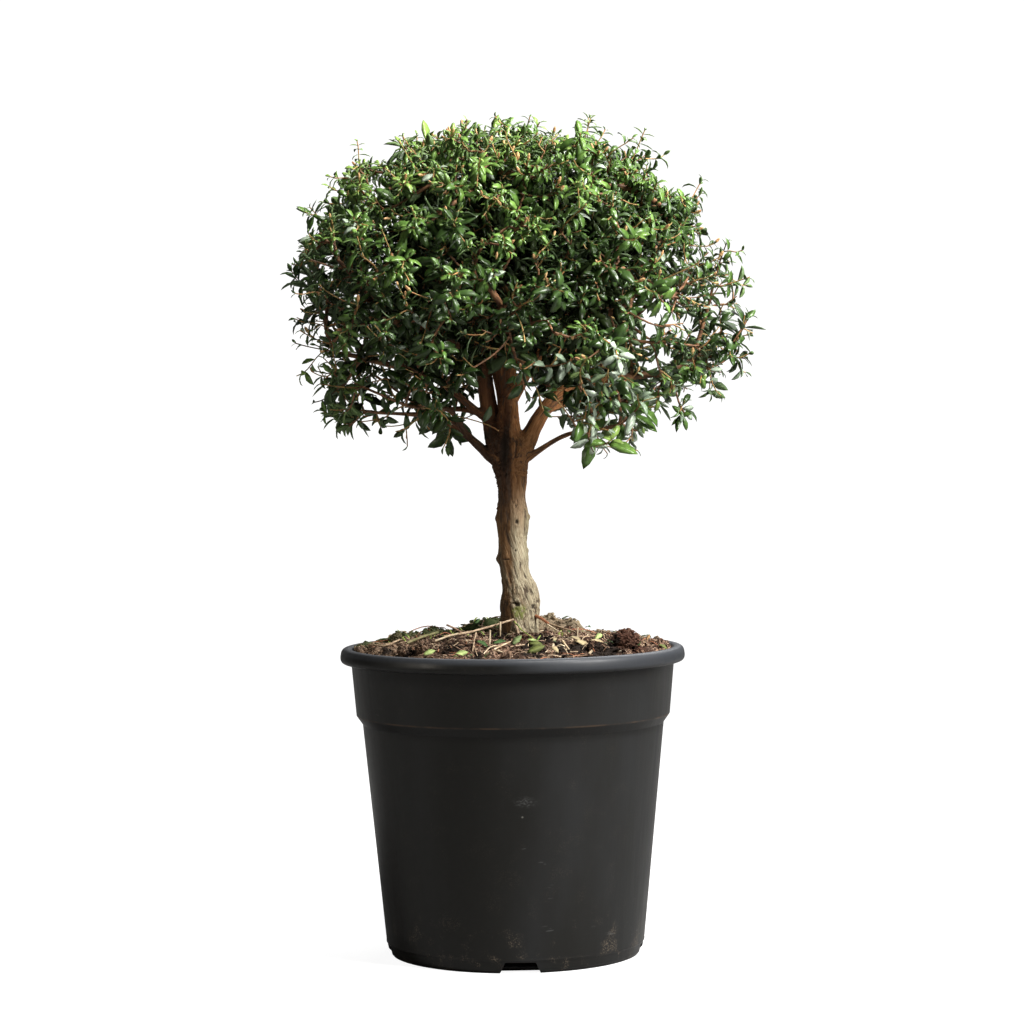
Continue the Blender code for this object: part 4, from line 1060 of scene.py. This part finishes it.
# A row of ridges: share of the relief, width, length, and where in the noise they are taken from
WRINKLES = (0.0030, 0.0150, 5.0)
RELIEF_LEVEL = 0.72  # the share of full relief that lies where the smooth skin was
KNOTS = ((4.6, 350, 1.5, 2.1, 1.5), (3.1, 326.8, 0.9, 1.3, 1), (4, 283.2, 2.6, 1.9, 2.2),
         (2, 284.6, 2.2, 0.9, 1), (17, 281.5, 1.6, 2.4, 1), (-4.2, 319.5, 3.4, 0.6, 0.9),
         (-5.2, 408.5, 4.6, 17, 4.5))  # scars on the front: x, z, half width, half height, depth
FORK = (0.405, 0.022)  # height and half width of the fork's deep creases
SWELLINGS = ((-13.2, -2, 353, 5, 1.3), (15, -2, 353.5, 4.2, 1.3), (13.6, -2, 326.5, 3, 1.3),
             (-11, -2, 319, 5.5, 1.6), (-11.8, -2, 364, 3, 0.9), (12.8, -2, 393, 4, 1.1),
             (19.5, -2, 285, 5, 1.4))  # x, y, z, radius, height
GROOVE_LEAN = -0.28  # how far the grooves lean, as width by height, below where the bark wrinkles
WRINKLED = (0.325, 0.285)  # the bark wrinkles more and more between these heights
MOSS = Vector((0.0058, -0.0150, 0.2770))
MOSS_RADIUS = 0.0085


def finder_of(points):
    """A finder of the nearest of the points."""
    finder = kdtree.KDTree(len(points))
    for i, point in enumerate(points):
        finder.insert(point, i)
    finder.balance()
    return finder


def ridged(place, across, along, seed):
    """0 in long narrow cracks and 1 between them, on ridges that wide and that long along the fibres."""
    spot = Vector((place.x / across, place.y / across, place.z / along + seed))
    return min(1.0, abs(noise.noise(spot)) * 4.0)


samples = []
for name, line in {**lines, "trunk": trunk_line}.items():
    upright = name in ("trunk", "stem_left", "stem_centre")
    side = Vector((1.0, 0.0, 0.0)) if upright else (line[1] - line[0]).orthogonal()
    along = GROUND if name == "trunk" else line[0].z if upright else 0.0
    for i, point in enumerate(line):
        way = way_at(line, i)
        side = (side - way * side.dot(way)).normalized()
        samples.append((point, way, side, along, upright))
        if i + 1 < len(line):
            along += (line[i + 1] - point).length
nearest = finder_of([sample[0] for sample in samples])
rounds = bmesh.new()
rounds.from_mesh(wood.data)
every_way = {"use_axis_x": True, "use_axis_y": True, "use_axis_z": True}
for _ in range(SMOOTHING_ROUNDS):
    bmesh.ops.smooth_vert(rounds, verts=rounds.verts, factor=0.5, **every_way)
rounds.normal_update()
notes = {"grain": [], "relief": [], "scar": [], "moss": []}
moves = []
for vertex in rounds.verts:
    point = vertex.co
    centre, way, side, along, upright = samples[nearest.find(point)[1]]
    off = point - centre
    along += off.dot(way)
    place = Vector((side.dot(off), way.cross(side).dot(off), along))
    if upright:
        place = point + Vector((GROOVE_LEAN * max(0.0, WRINKLED[0] + 0.015 - point.z), 0.0, 0.0))
    bend = noise.noise(place * 45) * 0.004
    warped = place + Vector((bend, bend, 0.0))
    level = sum(share * ridged(warped, *size) for share, *size in RIDGES)
    amount = min(RELIEF_DEPTH, RELIEF_SHARE * off.length)
    pit, sunk = 0.0, 0.0
    if point.y < 0:
        ragged = 1 + 0.5 * noise.noise(point * 600)
        for knot in KNOTS:
            x, z, width, height, depth = metres(*knot)
            gap = math.hypot((point.x - x) / width, (point.z - z) / height) * ragged
            near = max(0.0, 1.0 - gap * gap * 0.55)
            pit = max(pit, near)
            sunk += depth * (near * near - 0.30 * math.exp(-((gap - 1.5) / 0.45) ** 2))
    if upright:
        wrinkled = held((WRINKLED[0] - point.z) / (WRINKLED[0] - WRINKLED[1])) * 0.6
        level += wrinkled * (ridged(warped, *WRINKLES) - level)
        amount *= 1 + 0.5 * wrinkled + 1.5 * math.exp(-((point.z - FORK[0]) / FORK[1]) ** 2)
        for swelling in SWELLINGS:
            *middle, radius, height = metres(*swelling)
            gap = (point - Vector(middle)).length / radius
            sunk -= height * max(0.0, 1.0 - gap * gap) ** 2
    moves.append(vertex.normal * ((level - RELIEF_LEVEL) * amount - sunk))
    patch = max(0.0, 1.0 - (point - MOSS).length / MOSS_RADIUS)
    if patch:
        patch *= 0.6 + 0.8 * noise.noise(point * 420)
    for kept, value in zip(notes.values(), (place, level, pit, patch)):
        kept.append(value)
for vertex, move in zip(rounds.verts, moves):
    vertex.co += move
rounds.to_mesh(wood.data)
rounds.free()
for name, values in notes.items():
    noted(wood.data, name, "FLOAT_VECTOR" if name == "grain" else "FLOAT", values)
wood.data.shade_smooth()


def multiplied(first, second):
    """One colour tinted by another."""
    return node(first.id_data, "ShaderNodeMix", 2, {"Factor": 1.0, 6: first, 7: second}, data_type="RGBA",
                blend_type="MULTIPLY")


def myrtle_bark():
    """Bark that peels in long strips: tan on the trunk, red-brown on the limbs, dark in cracks and scars,
    with painted shade at the fork and low on the trunk's left, and the trunk paler on its right, partly from
    its peeled bark and partly as painted light.
    """
    made, tree, inputs = principled("myrtle_bark", (0.12, 0.06, 0.035), 0.80, 0.25)
    place = attribute(tree, "grain", "Vector")
    x, _, z = parts(object_place(tree))
    patches = noise_texture(place, (95.0, 95.0, 12.0), 3.0)
    strips = noise_texture(place, (300.0, 300.0, 20.0), 4.0, 0.6)
    fibres = noise_texture(place, (1200.0, 1200.0, 70.0), 3.0, 0.6)
    scales = noise_texture(place, (420.0, 420.0, 210.0), 3.0)
    mixed = calculated("ADD", product(patches, 0.55), product(strips, 0.45))
    # The trunk is darker on its left and paler on its right: partly its peeled tan bark, partly painted light
    # from the right.
    share = spread(calculated("SUBTRACT", mixed, spread(x, 0.0058, -0.0035, -0.09, 0.16)), 0.34, 0.56)
    trunk = blended(share, (0.200, 0.110, 0.048), (0.425, 0.370, 0.255))
    # painted shade: the fork's red-brown is darkened where the crown shades the upper trunk
    fork_painted_shade = blended(share, (0.054, 0.024, 0.011), (0.260, 0.125, 0.048))
    limb = blended(share, (0.108, 0.044, 0.017), (0.370, 0.165, 0.062))
    uneven = calculated("ADD", z, product(patches, 0.05))
    # painted shade: darker low on the trunk's left side
    painted_shade_low_left = product(spread(x, -0.0020, -0.0090), spread(z, 0.335, 0.312, 0.0, 0.65))
    green_edge = product(spread(x, 0.0080, 0.0130), spread(z, 0.300, 0.325, 0.0, 0.55),
                         spread(z, 0.372, 0.350))
    colour = layered(trunk, (spread(uneven, 0.352, 0.412), fork_painted_shade), (spread(uneven, 0.440, 0.465), limb),
                     (painted_shade_low_left, (0.060, 0.044, 0.029)), (green_edge, (0.200, 0.188, 0.112)))
    rough = product(spread(scales, 0.52, 0.40), spread(z, 0.325, 0.285))
    cracks = spread(attribute(tree, "relief"), 0.62, 0.30, 0.0, 0.88)
    moss = spread(attribute(tree, "moss"), 0.05, 0.45, 0.0, 0.85)
    scars = spread(attribute(tree, "scar"), 0.30, 0.85, 0.0, 0.92)
    shaded = blended(spread(fibres, 0.38, 0.60), (0.62, 0.57, 0.52), (1.0, 1.0, 1.0))
    colour = layered(multiplied(colour, shaded), (product(rough, 0.45), (0.070, 0.048, 0.032)),
                     (cracks, (0.060, 0.038, 0.025)), (moss, (0.170, 0.190, 0.045)),
                     (scars, (0.026, 0.017, 0.011)))
    plug(inputs["Base Color"], colour)
    relief = calculated("ADD", product(fibres, 0.5), strips, product(rough, -0.5))
    bumped(relief, 0.0012, 0.9, inputs)
    return made


wood.data.materials.append(myrtle_bark())
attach(wood, "root")
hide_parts("trunk", *[limb.name for limb in LIMBS])


# The twigs: shoots that grow on from the limbs' tips, fork after fork, out to the outline of the crown.
# They are thin round wood, dark red-brown where they are old, and orange-brown to green where they are new.
CROWN_CENTRE = Vector((0.006, 0.0, 0.530))
# A row of the crown's outline: height, left radius, right radius
CROWN_ROWS = ((396, 86, 98), (415, 128, 112), (435, 144, 142), (460, 172, 172), (490, 177, 196),
              (515, 178, 200), (560, 179, 187), (590, 165, 177), (615, 149, 164), (635, 136, 138),
              (652, 117, 121), (664, 80, 95), (674, 38, 52), (676, 0, 0))
CROWN_OUTLINE = [metres(*row) for row in CROWN_ROWS]
LOBES = 0.035  # how far the outline swells and dips round the crown, as a share of its radius
MASS_DEPTH = 0.42  # a mass's middle, as a share of the way from its limb's tip to the outline
TWIG_COUNT = 108
TWIG_DEPTHS = (0.018, 0.030)  # the twigs' tips lie between these depths inside the outline
LOWEST_TWIG = -0.80  # sine of the steepest way down that a twig's tip lies, from the crown's middle
STEM_JOINTS = (0.35, 0.7, 1.0)  # where twigs may start along their mass's stem
TWIG_JOINTS = (0.3, 0.55)  # where other twigs may start along a twig
SHOOT_JOINTS = (0.12, 0.25, 0.4, 0.55, 0.7, 0.85)  # where fine shoots may start along a twig
FINE_JOINTS = (0.35, 0.65)  # and along another fine shoot
PATH_WEIGHT = 0.35  # how much the way along the twigs to a joint counts when a shoot picks its joint
SHORTEST_SHOOT = 0.004
FOLLOWING = 0.55  # how much a shoot follows its parent's way where it starts
ARRIVING = (0.7, 0.45, 0.40)  # shares of straight on, outwards and up in a shoot's way at its tip
WANDERING = 0.3  # how much of that way is left to chance
LONG_SHOOTS = ((-37, 0, 684), (-90, -20, 671), (16, 20, 679), (119, 0, 654), (166, 0, 620),
               (188, 0, 579), (205, 0, 514), (183, 0, 466), (-172, 0, 586), (-184, 0, 495),
               (-168, 0, 444), (-142, 0, 422), (-89, -20, 404), (83, -30, 396), (109, -20, 399),
               (152, -20, 428), (196, 0, 486))  # their leaf tips
LONG_SHOOT_LEAF = 0.010
TUFTS = 560  # tufts of shoots on the crown's outside, with dark gaps between them
TUFT_DEPTHS = (0.027, -0.004)
TOP_SINK = 0.006  # how much deeper the tufts lie at the crown's top
SHOULDER = Vector((0.70, 0.0, 0.71))  # the way from the crown's middle to its lower right shoulder
SHOULDER_SINK = 0.011
TUFT_SHOOTS = (3, 7)
TUFT_WIDTH = 0.0062  # how far a tuft's shoots spread from its middle
INNER_SHOOTS = 1800
INNER_DEPTHS = (0.036, 0.110)
STRAY_SHOOTS = 130
STRAY_DEPTHS = (-0.012, -0.002)
LOWEST_STRAY = 0.412
CLUMP_SIZE = 0.034  # how wide the swellings are that the tufts form
TWIG_RADIUS = 0.00050  # of a shoot that carries nothing else
TWIG_THICKENING = 0.39  # the power of the number of shoots carried that a twig's radius goes with
TWIG_STEP = 0.006  # length of one stretch of a twig's mesh
LEAF_ROOM = 0.006  # kept free between the stray shoots and the solids' box
# Where sky shows: x, z, half width, half height, how far back, and the shares left out inside and outside
OPENINGS = ((-86, 425, 84, 72, 1000, 1, 0.92), (2, 416, 90, 56, 1000, 1.15, 1.15),
            (118, 428, 95, 70, 1000, 0.98, 0.7), (178, 528, 50, 82, 1000, 0.98, 0.54),
            (-168, 480, 54, 80, 1000, 0.98, 0.74), (145, 600, 35, 50, 1000, 0.4, 0.15),
            (-10, 448, 74, 52, 12, 1.1, 1), (180, 440, 40, 50, 1000, 0.2, 0),
            (128, 514, 44, 44, 1000, 1, 0.5))


def crown_radius(azimuth, height):
    """How far the crown's outline is from the plant's axis, that way and at that height."""
    if not CROWN_OUTLINE[0][0] <= height <= CROWN_OUTLINE[-1][0]:
        return 0.0
    left, right = (interpolated(CROWN_OUTLINE, height, column) for column in (1, 2))
    swell = math.sin(azimuth) ** 2 * (math.sin(5 * azimuth + 1.1) + math.sin(3 * azimuth + 60 * height)) / 2
    return (left + (1 + math.cos(azimuth)) / 2 * (right - left)) * (1 + LOBES * swell)


def reach(start, way):
    """How far the crown's outline is from a point inside it, along a unit vector."""
    step = 0.002
    distance = step
    while distance < 0.5:
        point = start + way * distance
        if math.hypot(point.x, point.y) > crown_radius(math.atan2(point.y, point.x), point.z):
            break
        distance += step
    return distance - step / 2


def inside_outline(way, depth):
    """The place that deep inside the outline, that way from the crown's middle."""
    return CROWN_CENTRE + way * (reach(CROWN_CENTRE, way) - depth)


def spread_ways(count, offset):
    """Unit vectors spread evenly round the crown's middle, down to the lowest twigs."""
    turn = math.pi * (3 - math.sqrt(5))
    for i in range(count):
        rise = 1 - (1 - LOWEST_TWIG) * (i + 0.5) / count
        flat = math.sqrt(1 - rise * rise)
        yield Vector((flat * math.cos(i * turn + offset), flat * math.sin(i * turn + offset), rise))


def stir(amount):
    """A random vector, up to that much each way."""
    return Vector([dice.uniform(-amount, amount) for _ in range(3)])


def thinned(point, depth):
    """The share of shoots left out at a place, where the sky shows through the crown."""
    share = 0.0
    for *lengths, inside, outside in OPENINGS:
        x, z, width, height, back = metres(*lengths)
        if point.y <= back:
            gap = math.hypot((point.x - x) / width, (point.z - z) / height)
            share = max(share, (inside if depth > INNER_DEPTHS[0] else outside) * max(0.0, 1.3 - gap))
    return share


class Shoot:
    """A twig or shoot: a curve from a place on its parent to its tip."""

    def __init__(self, line, parent, at, depth):
        self.line, self.parent, self.at, self.depth = line, parent, at, depth
        self.carried = []
        self.tips = 1
        if parent:
            parent.carried.append(self)

    def tips_beyond(self, share):
        return 1 + sum(child.tips for child in self.carried if child.at >= share)

    def way(self, share):
        """Its direction at a share of its steps."""
        step = min(int(share * (len(self.line) - 1)), len(self.line) - 2)
        return (self.line[step + 1] - self.line[step]).normalized()


class Branching:
    """The wood of one mass of foliage, on the tip of one limb, and the joints where its shoots may start."""

    def __init__(self, limb):
        before, self.root = lines[limb.name][-2:]
        way = (self.root - before).normalized()
        self.middle = self.root + way * MASS_DEPTH * reach(self.root, way)
        stem_line = curved(before, way, self.middle, (self.middle - self.root).normalized(), 0.01, 6)
        stem = Shoot(stem_line, None, 0.0, 0.05)
        stem.limb_radius = limb.radii[1] / 1000 * 0.95
        self.shoots = [stem]
        self.joints, self.spots, self.paths = [], np.zeros((0, 3)), np.zeros(0)
        self.open_joints(stem, STEM_JOINTS, 0.0)

    def open_joints(self, shoot, shares, path):
        """Lets shoots start at those shares of the shoot, whose foot is that far along the twigs."""
        paths = [path + share * length_of(shoot.line) for share in shares]
        self.joints += [(shoot, share, far) for share, far in zip(shares, paths)]
        self.spots = np.vstack([self.spots, [point_along(shoot.line, share) for share in shares]])
        self.paths = np.append(self.paths, paths)

    def grow(self, target, depth, shares):
        """Adds a shoot to the target from the joint that gives the shortest way."""
        far = np.linalg.norm(self.spots - np.array(target), axis=1) + PATH_WEIGHT * self.paths
        parent, share, path = self.joints[int(far.argmin())]
        start = point_along(parent.line, share)
        length = (target - start).length
        if length < SHORTEST_SHOOT:
            return
        straight = (target - start) / length
        out = (target - CROWN_CENTRE).normalized()
        leave = (straight + parent.way(share) * FOLLOWING).normalized()
        up = Vector((0.0, 0.0, ARRIVING[2]))
        arrive = (straight * ARRIVING[0] + out * ARRIVING[1] + up + stir(WANDERING)).normalized()
        steps = max(2, round(length / TWIG_STEP))
        shoot = Shoot(curved(start, leave, target, arrive, length * 0.34, steps), parent, share, depth)
        self.shoots.append(shoot)
        self.open_joints(shoot, shares, path)


branchings = [Branching(limb) for limb in LIMBS]
middles = np.array([branching.middle for branching in branchings])


def branching_at(point):
    return branchings[int(np.linalg.norm(middles - np.array(point), axis=1).argmin())]


# The source's own twigs come first, the nearest to each limb's tip before the others.
main_tips = []
for end in LONG_SHOOTS:
    end = Vector(metres(*end))
    main_tips.append((end + (CROWN_CENTRE - end).normalized() * LONG_SHOOT_LEAF, 0.0))
for way in spread_ways(TWIG_COUNT, 0.0):
    depth = between(TWIG_DEPTHS, abs(noise.noise(way * 3.1)))
    main_tips.append((inside_outline(way, depth), depth))
main_tips.sort(key=lambda tip: (tip[0] - branching_at(tip[0]).root).length)
for tip, depth in main_tips:
    branching_at(tip).grow(tip, depth, TWIG_JOINTS)
for branching in branchings:
    for shoot in branching.shoots[:]:
        branching.open_joints(shoot, SHOOT_JOINTS, length_of(shoot.line) * 0.5)

# The fine shoots: an outer shell of them in clumps, and some deeper in that fill the crown.
fine_tips = []
for way in spread_ways(TUFTS, 0.7):
    way = (way + stir(0.05)).normalized()
    edge = inside_outline(way, 0.0)
    clump = 0.5 + 0.7 * noise.noise(edge / CLUMP_SIZE) + dice.uniform(-0.45, 0.45)
    depth = between(TUFT_DEPTHS, held(clump)) + TOP_SINK * max(way.z, 0.0)
    depth += SHOULDER_SINK * max(0.0, way.dot(SHOULDER) - 0.6) / 0.4
    for _ in range(dice.randint(*TUFT_SHOOTS)):
        aside = Vector([dice.gauss(0, TUFT_WIDTH) for _ in range(3)])
        aside -= way * way.dot(aside)
        fine_tips.append((edge - way * (depth + aside.length * 0.5) + aside, depth))
for way in spread_ways(INNER_SHOOTS, 2.1):
    way = (way + stir(0.08)).normalized()
    depth = dice.uniform(*INNER_DEPTHS)
    fine_tips.append((inside_outline(way, depth), depth))
for way in spread_ways(STRAY_SHOOTS, 4.0):
    way = (way + stir(0.15)).normalized()
    depth = dice.uniform(*STRAY_DEPTHS)
    tip = inside_outline(way, depth)
    if tip.z > LOWEST_STRAY:
        room = Vector((LEAF_ROOM, LEAF_ROOM, LEAF_ROOM))
        fine_tips.append((Vector(np.clip(tip, cad_box[0] + room, cad_box[1] - room)), depth))
fine_tips.sort(key=lambda tip: -tip[1])
for tip, depth in fine_tips:
    if dice.random() > thinned(tip, depth):
        branching_at(tip).grow(tip, depth, FINE_JOINTS)
shoots = [shoot for branching in branchings for shoot in branching.shoots]
for shoot in reversed(shoots):
    shoot.tips = shoot.tips_beyond(0.0)
for name, is_old, colours in (("old_twigs", True, ((0.095, 0.043, 0.021), (0.265, 0.132, 0.060))),
                              ("young_twigs", False, ((0.380, 0.170, 0.065), (0.330, 0.260, 0.095)))):
    sticks = []
    for shoot in [shoot for shoot in shoots if (shoot.tips > 2) == is_old]:
        count = len(shoot.line) - 1
        radii = [TWIG_RADIUS * shoot.tips_beyond(i / count) ** TWIG_THICKENING for i in range(count + 1)]
        if shoot.parent is None:
            least = [shoot.limb_radius * (1 - 0.8 * i / count) for i in range(count + 1)]
            radii = list(map(max, radii, least))
        sticks.append((shoot.line, radii))
    twigs = round_sticks(name, sticks, twig_bark(name + "_bark", *colours))
    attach(twigs, "root")


# The leaves: small, stiff, glossy and pointed, in opposite pairs each a quarter turn from the last. They are
# dealt to the shoots in sprays of one green, paler towards the crown's top, partly young growth and partly
# painted light, and darker and bluer inside it and on its left as painted shade, with painted sheen low on
# the right.
LEAF_LENGTHS = (0.0140, 0.0126)  # at the crown's foot and at its top, as in the next two
PAIR_GAPS = (0.0062, 0.0042)
LEAFY_LENGTHS = (0.042, 0.030)  # how far back from its tip a shoot has leaves
INNER_LEAFY_LENGTH = 0.05
FIRST_PAIR = 0.0012  # distance of the pair at the tip from the tip
TIP_SIZES = (0.50, 0.80, 0.95)  # the first pairs against the full size
TIP_ANGLES = (28, 50, 66, 76)  # degrees from the shoot
BIG_SHARE = 0.16  # of the shoots
BIG_SIZE = 1.45
LOW_FOLIAGE = 0.47
LOW_SIZE = 1.12
LIMB_BERTH = 0.006
INNER_LEAF_SIZE = 1.3  # against those outside
NARROW_FORMS = (3, 4, 5)
PIECE_LEAVES = 7500
# The greens: the shade green is painted shade for leaves deep inside, the blue one is partly the leaves' own
# bluish green and partly painted sheen, and the palest is a painted reflection; the rest are the leaves' own
# greens.
TINTS = {"shade": (0.019, 0.030, 0.009), "mature": (0.032, 0.066, 0.014), "mid": (0.064, 0.128, 0.024),
         "fresh": (0.112, 0.205, 0.040), "young": (0.190, 0.295, 0.065), "blue": (0.200, 0.265, 0.180),
         "silver": (0.330, 0.400, 0.305)}
# painted light: the lower left is dealt lighter greens than the light there gives it
LOW_LEFT_TINTS = ("shade", "mature", *["mid"] * 3, *["fresh"] * 2)
# painted sheen: the lower right is dealt pale greens for the sky on its glossy leaves, the blue one partly
# the leaves' own bluish green
LOW_RIGHT_TINTS = (*["silver"] * 2, *["fresh"] * 2, *["blue"] * 3, *["mid"] * 3, *["mature"] * 3)
LIGHT_STEPS = ((1.60, "young"), (0.62, "fresh"), (-0.25, "mid"), (-0.9, "mature"))
PAINTED_SKY_GLINT_SHARE = 0.03  # painted reflection: single leaves given a pale green for the sky on their gloss
LIGHTER = {"shade": "mature", "mature": "mid", "mid": "fresh", "fresh": "young", "young": "young",
           "blue": "mid", "silver": "blue"}


def spray_tint(shoot):
    """The green of a whole shoot, by how deep it is, how high, and on which side: its own green and painted
    light and shade.
    """
    tip = shoot.line[-1]
    chance = dice.random()
    # painted shade: shoots deep inside take the shade green
    if shoot.depth > INNER_DEPTHS[0] - 0.001:
        return "shade" if chance < 0.85 else "mature"
    if tip.x > 0.04 and tip.z < 0.48:
        chance *= 0.72 if tip.z < 0.44 else 1.0
        return LOW_RIGHT_TINTS[int(chance * len(LOW_RIGHT_TINTS))]
    if tip.x < -0.11 and tip.z < 0.51:
        return LOW_LEFT_TINTS[int(chance * len(LOW_LEFT_TINTS))]
    # painted light and shade: paler higher up, partly as young growth; darker deeper in, on the left below
    # the top, and towards the right at the top
    patch = noise.noise(tip * 26.0) * 0.55
    light = max((tip.z - 0.588) / 0.096, -0.80) + patch + (chance - 0.5) * 0.9
    light -= max(0.0, shoot.depth - 0.014) * 30
    if tip.z > 0.57:
        light -= tip.x * 3.0
    elif tip.x < -0.12:
        light -= 0.3
    for least, tint in LIGHT_STEPS:
        if light > least:
            return tint
    return "mature" if chance < 0.4 else "young" if chance > 0.93 else "shade"


def shoot_leaves(shoot, deal):
    """Deals the shoot's leaves to their greens, as (place, turn, size, form)."""
    line, length = shoot.line, length_of(shoot.line)
    inner = shoot.depth > INNER_DEPTHS[0] - 0.001
    tint = spray_tint(shoot)
    height = held((line[-1].z - 0.42) / 0.24)
    gap = between(PAIR_GAPS, height) * dice.uniform(0.85, 1.2)
    leafy = between(LEAFY_LENGTHS, height) if shoot.depth < 0.027 else INNER_LEAFY_LENGTH
    full = between(LEAF_LENGTHS, height) * dice.uniform(0.80, 1.22)
    if inner:
        full *= INNER_LEAF_SIZE
    elif dice.random() < BIG_SHARE:
        full *= BIG_SIZE
    if line[-1].z < LOW_FOLIAGE:
        full *= LOW_SIZE
    spin = dice.uniform(0, math.pi)
    back, pair = FIRST_PAIR, 0
    while back < min(length * 0.92, leafy):
        share = 1 - back / length
        place, way = point_along(line, share), shoot.way(share)
        side = way.orthogonal().normalized()
        out = (place - CROWN_CENTRE).normalized()
        grade = TIP_SIZES[pair] if pair < len(TIP_SIZES) else 1.0
        angle = math.radians(TIP_ANGLES[min(pair, len(TIP_ANGLES) - 1)] + dice.uniform(-9, 9))
        for half_turn in (0, 1):
            if back > 0.02 and dice.random() < 0.15:
                continue
            round_shoot = spin + pair * math.pi / 2 + half_turn * math.pi + dice.uniform(-0.25, 0.25)
            spoke = Matrix.Rotation(round_shoot, 3, way) @ side
            leaf_way = way * math.cos(angle) + spoke * math.sin(angle) + Vector((0, 0, -0.10))
            leaf_way.normalize()
            face = way * 0.7 - spoke * 0.35 + Vector((0, 0, 0.75)) + out * 0.35 + stir(0.3)
            across = leaf_way.cross(face).normalized()
            turn = Matrix((across, leaf_way, across.cross(leaf_way))).transposed().to_euler()
            if near_limb.find(place + leaf_way * full * 0.5)[2] < LIMB_BERTH:
                continue
            if dice.random() < thinned(place, shoot.depth) * 0.7:
                continue
            narrow = dice.random() < 0.25 + 0.6 * height
            form = dice.choice(NARROW_FORMS) if narrow else dice.randrange(3)
            green = LIGHTER[tint] if pair == 0 or (pair == 1 and tint in ("mid", "fresh")) else tint
            # painted reflection: a few single leaves take a pale green for the sky on their gloss
            if pair > 0 and shoot.depth < INNER_DEPTHS[0] and dice.random() < PAINTED_SKY_GLINT_SHARE:
                green = "silver"
            deal[green].append((place, turn, full * grade * dice.uniform(0.85, 1.15), form))
        back += gap * (0.75 if pair < 2 else 1.0)
        pair += 1


near_limb = finder_of([point for limb in LIMBS for point in lines[limb.name]])
dealt = {name: [] for name in TINTS}
for shoot in shoots:
    if shoot.parent:
        shoot_leaves(shoot, dealt)
masses = [name for name in frame["nodes"] if name.startswith("foliage_")]
for name, colour in TINTS.items():
    finish = leaf_green(f"leaf_{name}", colour, 0.12 if name == "shade" else 0.5)
    pieces = range(0, len(dealt[name]), PIECE_LEAVES)
    for i in pieces:
        label = f"leaves_{name}" if len(pieces) == 1 else f"leaves_{name}_{i // PIECE_LEAVES + 1}"
        leaves = scattered(label, dealt[name][i:i + PIECE_LEAVES], leaf_forms, finish)
        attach(leaves, "root")
        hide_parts(*masses)
put_away(leaf_forms)

# Dried flower cups and buds: small tan spindles that stand on some of the outer shoots' tips.
# They are dry and papery, what is left of last summer's flowers.
CUP_OUTLINE = ((0.0, 0.0), (0.10, 0.10), (0.20, 0.42), (0.15, 0.80), (0.0, 1.0))  # shares of its length
CUP_COUNT = 200
CUP_LENGTHS = (0.0040, 0.0074)
CUP_COLOURS = ((0.300, 0.145, 0.060), (0.560, 0.360, 0.160))
LOWEST_CUP = 0.46
DEEPEST_CUP = 0.018

cup_forms = form_collection("cup_forms", [finished("cup", turned(CUP_OUTLINE, 6))])
outer = [shoot for shoot in shoots if shoot.parent and 0.0 < shoot.depth < DEEPEST_CUP]
tips = [shoot for shoot in outer if shoot.line[-1].z > LOWEST_CUP]
places = []
for shoot in dice.sample(tips, CUP_COUNT):
    way = shoot.way(1.0) + Vector((0.0, 0.0, 0.6))
    places.append((shoot.line[-1], way.to_track_quat("Z", "Y").to_euler(), dice.uniform(*CUP_LENGTHS), 0))
cups = scattered("dried_flower_cups", places, cup_forms, twig_bark("dried_flowers", *CUP_COLOURS))
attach(cups, "root")
put_away(cup_forms)
